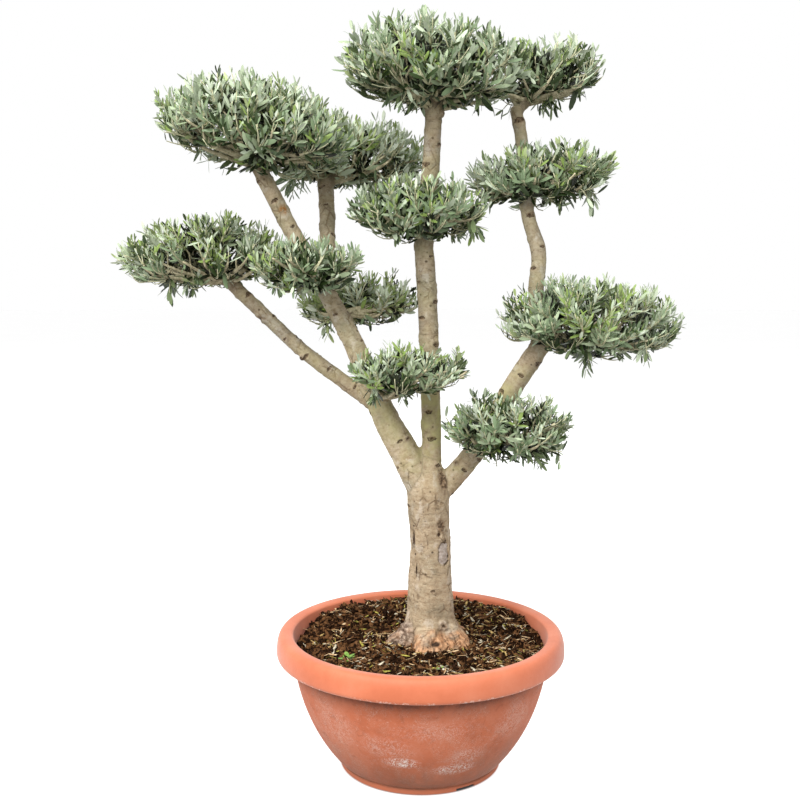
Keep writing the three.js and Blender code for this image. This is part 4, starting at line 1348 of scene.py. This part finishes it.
def turnBowl():
    draft = bpy.data.objects.new("bowlDraft", meshOf("bowlDraft", turned(bowlProfile(), bowl["steps"])))
    cutter = bmesh.new()
    size = Matrix.Diagonal((2 * bowl["notchDepth"], bowl["notchWidth"], 2 * bowl["notchHeight"], 1))
    for angle in bowl["notchAngles"]:
        turn = Matrix.Rotation(math.radians(angle), 4, "Z")
        place = turn @ Matrix.Translation((bowl["footRadius"], 0, 0)) @ size
        bmesh.ops.create_cube(cutter, size=1, matrix=place)
    notches = bpy.data.objects.new("notches", meshOf("notches", cutter))
    for piece in (draft, notches):
        bpy.context.scene.collection.objects.link(piece)
    cut = draft.modifiers.new("notches", "BOOLEAN")
    cut.operation, cut.solver, cut.object = "DIFFERENCE", "EXACT", notches
    mesh = finalMesh(draft)
    for piece in (draft, notches):
        bpy.data.objects.remove(piece)
    for face in mesh.polygons:
        x, y, z = face.center
        inside = face.normal.x * x + face.normal.y * y < 0 and z > 0.05
        face.material_index = 0 if z > bowl["rimBottom"] - 0.0005 or inside else 1
    mesh.shade_smooth()
    mesh.set_sharp_from_angle(angle=math.radians(38))
    mesh.name = "bowl"
    rim = clayMaterial("bowlRim", rimLook, 0.12, Sheen_Weight=0.20, Sheen_Roughness=0.45)
    body = clayMaterial("bowlBody", bodyLook, 0.3)
    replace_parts(newPiece("bowl", mesh, [rim, body]), "bowl")
    print("bowl:", len(mesh.polygons), "faces")


# soil: a crumbly top with clods, wood chips, straw and fallen leaves

soil = {
    "level": 0.255, "edgeDrop": 0.007, "bump": 0.003, "waveLength": 0.150,
    "flatRadius": 0.104, "flatFade": 0.040,
    "bank": 0.024,           # how much higher the soil lies along the back
    "rings": 52, "steps": 300, "gap": 0.0006, "floorGap": 0.0003,
    "clod": 0.0054,
    "bitsReach": 0.257,      # loose bits lie this far out
    "bitsClear": 0.068,      # and no nearer to the trunk
    "crumbs": 4600, "crumbSize": (0.0012, 0.0046),
    "heaped": 260, "heapRadius": 0.084, "heapWidth": 0.007,  # crumbs in a ring round the trunk
    "chips": 4200, "chipSize": (0.0025, 0.0065),
    "leaves": 1350, "leafSize": (0.0060, 0.0230),
    "straws": 120, "strawSize": (0.005, 0.022), "strawRadii": (0.0003, 0.0006, 0.0006, 0.0006, 0.0003),
    "clumped": 0.48,         # how far leaves and straw gather in drifts
}
soilLook = {"grain": (170, 6, 0.7), "steps": (0.36, 0.64), "rough": (0.98, 0.78), "shine": 0.06,
            "relief": (620, 4), "bump": (0.7, 0.0012)}
soilTones = {  # dark, light
    "soil": ((14, 6, 2), (46, 27, 13)),
    "crumbDark": ((15, 7, 3), (52, 31, 16)),
    "crumbBrown": ((54, 33, 16), (118, 82, 51)),
    "chip": ((40, 23, 11), (124, 88, 58)),
    "straw": ((186, 150, 106), (232, 206, 166)),
    "dryLeaf": ((106, 82, 42), (212, 182, 122)),
    "greyLeaf": ((126, 116, 88), (230, 220, 196)),
    "yellowLeaf": ((112, 104, 36), (204, 192, 100)),
}


def soilHeight(x, y):
    rootFar = np.hypot(x - trunkRoot[0], y - trunkRoot[1])
    fade = smoothStep(rootFar, soil["flatRadius"], soil["flatRadius"] + soil["flatFade"])
    turn = 2 * math.pi / soil["waveLength"]
    wave = np.sin(x * turn) * np.cos(y * turn) + np.sin((x + 2 * y) * turn) - 2
    level = soil["level"] + fade * (soil["bump"] * wave + soil["bank"] * smoothStep(y, 0.0, 0.17))
    level -= soil["edgeDrop"] * smoothStep(np.hypot(x, y), 0.22, 0.262)
    spots = np.stack([x, y, np.zeros_like(x)], axis=-1)
    clods = noiseAt(spots * 46) + 0.6 * noiseAt(spots * 105 + 3) + 0.35 * np.abs(noiseAt(spots * 230 + 9))
    return level + soil["clod"] * clods


def onSoil(spots):
    return np.column_stack([spots, soilHeight(*spots.T)])


def looseSpots(random, count, clumped=0.0):
    spots = np.empty((0, 2))
    while len(spots) < count:
        tries = random.uniform(-0.262, 0.262, (count * 3, 2))
        drift = 1.2 * noiseAt(np.column_stack([tries * 17, np.zeros(len(tries))])) + 0.6 * tries[:, 0] / 0.26
        rootFar = np.hypot(tries[:, 0] - trunkRoot[0], tries[:, 1] - trunkRoot[1])
        fine = (np.hypot(*tries.T) < soil["bitsReach"]) & (rootFar > soil["bitsClear"])
        fine &= drift > clumped * random.normal(0, 0.35, len(tries)) - 1.9 + 3 * clumped
        spots = np.concatenate([spots, tries[fine]])
    return onSoil(spots[:count])


def someSizes(random, sizes, shape, power):  # many small ones, few large ones
    return sizes[0] + sizes[1] * random.random(shape) ** power


def lumpsOf(middles, sizes, turns, random, faceted):  # joined rough lumps, one icosahedron or box each
    bm = bmesh.new()
    if faceted:
        bmesh.ops.create_icosphere(bm, subdivisions=1, radius=1)
    else:
        bmesh.ops.create_cube(bm, size=2)
        bmesh.ops.triangulate(bm, faces=bm.faces)
    bm.verts.index_update()
    template = np.array([v.co for v in bm.verts])
    faces = np.array([[v.index for v in f.verts] for f in bm.faces])
    bm.free()
    count, many = len(template), len(middles)
    shapes = template[None] * (1 + random.normal(0, 0.26, (many, count, 1)))
    shapes = (shapes + random.normal(0, 0.15, (many, count, 3))) * sizes[:, None, :]
    c, s = np.cos(turns[:, 0])[:, None], np.sin(turns[:, 0])[:, None]
    tilt, lean = np.cos(turns[:, 1])[:, None], np.sin(turns[:, 1])[:, None]
    x, y, z = np.moveaxis(shapes, 2, 0)
    x, z = x * tilt + z * lean, z * tilt - x * lean
    points = np.stack([x * c - y * s, x * s + y * c, z], axis=-1) + middles[:, None, :]
    allFaces = faces[None] + (np.arange(many) * count)[:, None, None]
    return points.reshape(-1, 3), allFaces.reshape(-1, 3), len(faces)


def spreadSoil(materials):
    level, gap = soil["level"], soil["gap"]
    rim = level - soil["edgeDrop"]
    edge = bowl["neckRadius"] - bowl["wall"] - gap
    side = wallArc(bowl["wall"] + gap, bowl["floor"] + soil["floorGap"])
    profile = [(0, bowl["footHeight"] + bowl["floor"] + soil["floorGap"]), *side[::3], side[-1], (edge, rim)]
    profile += [(edge * i / soil["rings"], level) for i in range(soil["rings"] - 1, -1, -1)]
    bm = turned(profile, soil["steps"])
    top = [v for v in bm.verts if v.co.z > rim - 0.001]
    flat = np.array([v.co for v in top])
    for v, z in zip(top, soilHeight(flat[:, 0], flat[:, 1])):
        v.co.z = z
    mesh = meshOf("soil", bm)
    mesh.shade_smooth()
    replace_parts(newPiece("soil", mesh, materials), "soil")


def scatterClods(random, materials):
    spots = looseSpots(random, soil["crumbs"])
    turn = random.uniform(*anyTurn, soil["heaped"])
    ring = around(turn, soil["heapRadius"], turn)[:, :2] + trunkRoot[:2]
    heap = ring + random.normal(0, soil["heapWidth"], ring.shape)
    spots = np.concatenate([spots, onSoil(heap)])
    count = len(spots)
    sizes = someSizes(random, soil["crumbSize"], (count, 1), 2.0) * random.uniform(0.45, 1.35, (count, 3))
    turns = random.uniform(*anyTurn, (count, 2))
    points, faces, each = lumpsOf(spots + (0, 0, 0.001), sizes, turns, random, True)
    brown = random.random(count) < 0.5 - 1.2 * spots[:, 0]  # drier towards the left
    paints = np.repeat(brown.astype(int), each)

    # wood chips
    spots = looseSpots(random, soil["chips"])
    count = len(spots)
    long = someSizes(random, soil["chipSize"], (count, 1), 1.5)
    sizes = [long, long * random.uniform(0.22, 0.5, long.shape)]
    sizes.append(long * random.uniform(0.12, 0.28, long.shape))
    turns = np.column_stack([random.uniform(*anyTurn, count), random.normal(0, 0.6, count)])
    chips = lumpsOf(spots + (0, 0, 0.0025), np.concatenate(sizes, axis=1), turns, random, False)
    chipPaints = np.repeat(random.choice([0, 0, 1, 2], count), chips[2])
    points, faces = joined((points, faces), chips[:2])
    mesh = meshOfArrays("clods", points, faces, np.concatenate([paints, chipPaints]))
    newPiece("clods", mesh, materials)


def scatterLitter(random, materials):
    spots = looseSpots(random, soil["leaves"], soil["clumped"]) + (0, 0, 0.0045)
    count = len(spots)
    turn = random.uniform(*anyTurn, count)
    ways = unit(around(turn, 1, random.normal(0.02, 0.26, count)))
    facings = unit(random.normal(0, 0.5, (count, 3)) + (0, 0, 1))
    sizes = someSizes(random, soil["leafSize"], count, 1.6)
    widths = sizes * random.uniform(0.13, 0.30, count)
    arches = random.normal(0, 0.22, count)
    roots = spots - ways * sizes[:, None] / 2
    points, faces, upperCount = leavesOf(roots, ways, facings, sizes, widths, arches)
    paints = np.repeat(random.choice([0, 1, 1, 2, 2, 3], count), 2 * upperCount)

    # straw
    spots = looseSpots(random, soil["straws"], soil["clumped"]) + (0, 0, 0.005)
    count = len(spots)
    turn = random.uniform(*anyTurn, count)
    ways = unit(around(turn, 1, random.normal(0, 0.12, count)))
    half = someSizes(random, soil["strawSize"], (count, 1), 1.6) * ways
    bend = random.normal(0, 0.010, (count, 3)) * (1, 1, 0.25)
    paths = curveThrough(spots - half, spots - half * 0.3 + bend, spots + half * 0.3 + bend, spots + half, 5)
    straws = tubesOf(paths, soil["strawRadii"], 4)
    points, faces = joined((points, faces), straws)
    mesh = meshOfArrays("litter", points, faces, np.concatenate([paints, np.zeros(len(straws[1]))]))
    newPiece("litter", mesh, materials)


def layOutSoil():
    random = np.random.default_rng(77)
    materials = [speckledMaterial(name, soilLook, *pair) for name, pair in soilTones.items()]
    spreadSoil(materials[:1])
    scatterClods(random, materials[1:4])
    scatterLitter(random, materials[4:])
    clods, litter = soil["crumbs"] + soil["chips"], soil["leaves"] + soil["straws"]
    print("soil:", clods, "clods and chips,", litter, "bits of litter")


# seedlings: two small green weeds by the rim, each with its place, number of leaves and their length

seedlings = [((-0.1445, -0.1218), 9, 0.016), ((0.0395, -0.1678), 5, 0.008)]
seedlingLook = {"grain": (260, 4), "steps": (0.35, 0.65), "rough": (0.45, 0.62), "shine": 0.4}


def sowSeedlings():
    random = np.random.default_rng(5)
    leaves = []
    for place, count, size in seedlings:
        foot = onSoil(np.array([place]))[0] + (0, 0, 0.003)
        for i in range(count):
            turn = i * goldenAngle
            way = unit(np.array([math.cos(turn), math.sin(turn), random.uniform(0.25, 1.1)]))
            root, facing = foot + (0, 0, 0.0008 * i), upward - way * way[2]
            leaves.append((root, way, facing, size * random.uniform(0.75, 1.2)))
    roots, ways, facings, sizes = (np.array(column) for column in zip(*leaves))
    points, faces = leavesOf(roots, ways, facings, sizes, sizes * 0.55, np.full(len(sizes), 0.2))[:2]
    mesh = meshOfArrays("seedlings", points, faces, np.zeros(len(faces)))
    sharpLeafEdges(mesh)
    green = speckledMaterial("seedling", seedlingLook, (84, 122, 44), (132, 166, 74))
    newPiece("seedlings", mesh, [green])
    print("seedlings:", len(roots), "leaves")


# studio: pale floor, soft light from above and the left, camera at the photograph's place

studio = {
    "camera": (0, -2.122, 0.984), "lookDown": 0.103, "lookLeft": 0.0201, "lens": 46.755,
    "sky": 1.0, "ground": 0.66, "floorRadius": 60.0, "floorGap": 0.0005,
    "aim": (0, 0, 0.85),
    "key": {"energy": 265.0, "size": 3.8, "place": (-1.25, -2.3, 3.45)},
    "wash": {"energy": 400.0, "size": 9.0, "place": (0, 0, 4.5)},
}


def lightRoom(scene):
    world = bpy.data.worlds.new("softRoom")
    world.use_nodes = True
    tree = world.node_tree
    sky = tree.nodes["Background"]
    sky.inputs["Strength"].default_value = studio["sky"]
    height = heightOf(tree, addNode(tree, "TexCoord").outputs["Generated"])
    shade = band(tree, maths(tree, "MULTIPLY_ADD", height, 0.5), (0.40, studio["ground"]), (0.49, 1))
    tree.links.new(shade, sky.inputs["Color"])
    scene.world = world


def layFloor(scene):
    bm = bmesh.new()
    bmesh.ops.create_circle(bm, cap_ends=True, segments=64, radius=studio["floorRadius"])
    floor = bpy.data.objects.new("floor", meshOf("floor", bm))
    floor.location.z = -studio["floorGap"]
    backdrop = bpy.data.collections.new("backdrop")
    backdrop.objects.link(floor)
    scene.collection.children.link(backdrop)
    material, tree, shader = newMaterial("paleFloor", Roughness=0.9, Specular_IOR_Level=0.05)
    place = objectPlace(tree)
    colour = tones(tree, grain(tree, place, 0.8), (0.3, (254, 254, 254)), (0.7, (255, 255, 255)))
    paintedContactShadow = band(tree, lengthOf(tree, place), (0.164, 0.96), (0.170, 0))  # painted shadow under the bowl, seen through the notches and as a thin contact line at the foot
    tree.links.new(stained(tree, paintedContactShadow, colour, 22, 15, 11), shader.inputs["Base Color"])
    floor.data.materials.append(material)
    floor.visible_diffuse = False  # only the ground colour of the room is thrown back up
    return backdrop


def hangLamp(scene, name, receivers):  # a lamp that lights one collection only
    look = studio[name]
    lamp = bpy.data.lights.new(name, "AREA")
    lamp.size, lamp.energy = look["size"], look["energy"]
    holder = bpy.data.objects.new(name, lamp)
    holder.location = look["place"]
    holder.rotation_euler = (Vector(studio["aim"]) - holder.location).to_track_quat("-Z", "Y").to_euler()
    holder.light_linking.receiver_collection = receivers
    holder.light_linking.blocker_collection = receivers
    scene.collection.objects.link(holder)


def placeCamera(scene):
    lens = bpy.data.cameras.new("camera")
    lens.lens, lens.sensor_width, lens.sensor_fit = studio["lens"], 36, "HORIZONTAL"
    camera = bpy.data.objects.new("camera", lens)
    camera.location = studio["camera"]
    camera.rotation_euler = (math.pi / 2 - studio["lookDown"], 0, studio["lookLeft"])
    scene.collection.objects.link(camera)
    scene.camera = camera


def setUpStudio():
    scene = bpy.context.scene
    scene.view_settings.view_transform = "Standard"
    lightRoom(scene)
    backdrop = layFloor(scene)
    hangLamp(scene, "key", plant)
    hangLamp(scene, "wash", backdrop)
    placeCamera(scene)
    print("studio: floor, two lamps and camera")


setUpStudio()
turnBowl()
layOutSoil()
sowSeedlings()
hubs = {}
for i, (name, mass) in enumerate(masses.items()):
    hubs[name] = mainTwigsOf(mass, np.random.default_rng(200 + i))
growBark(hubs)
leafPaints, twigPaints = leafMaterials(), twigMaterials()
for i, (name, mass) in enumerate(masses.items()):
    growMass(name, mass, np.random.default_rng(100 + i), *hubs[name][1:], leafPaints, twigPaints)
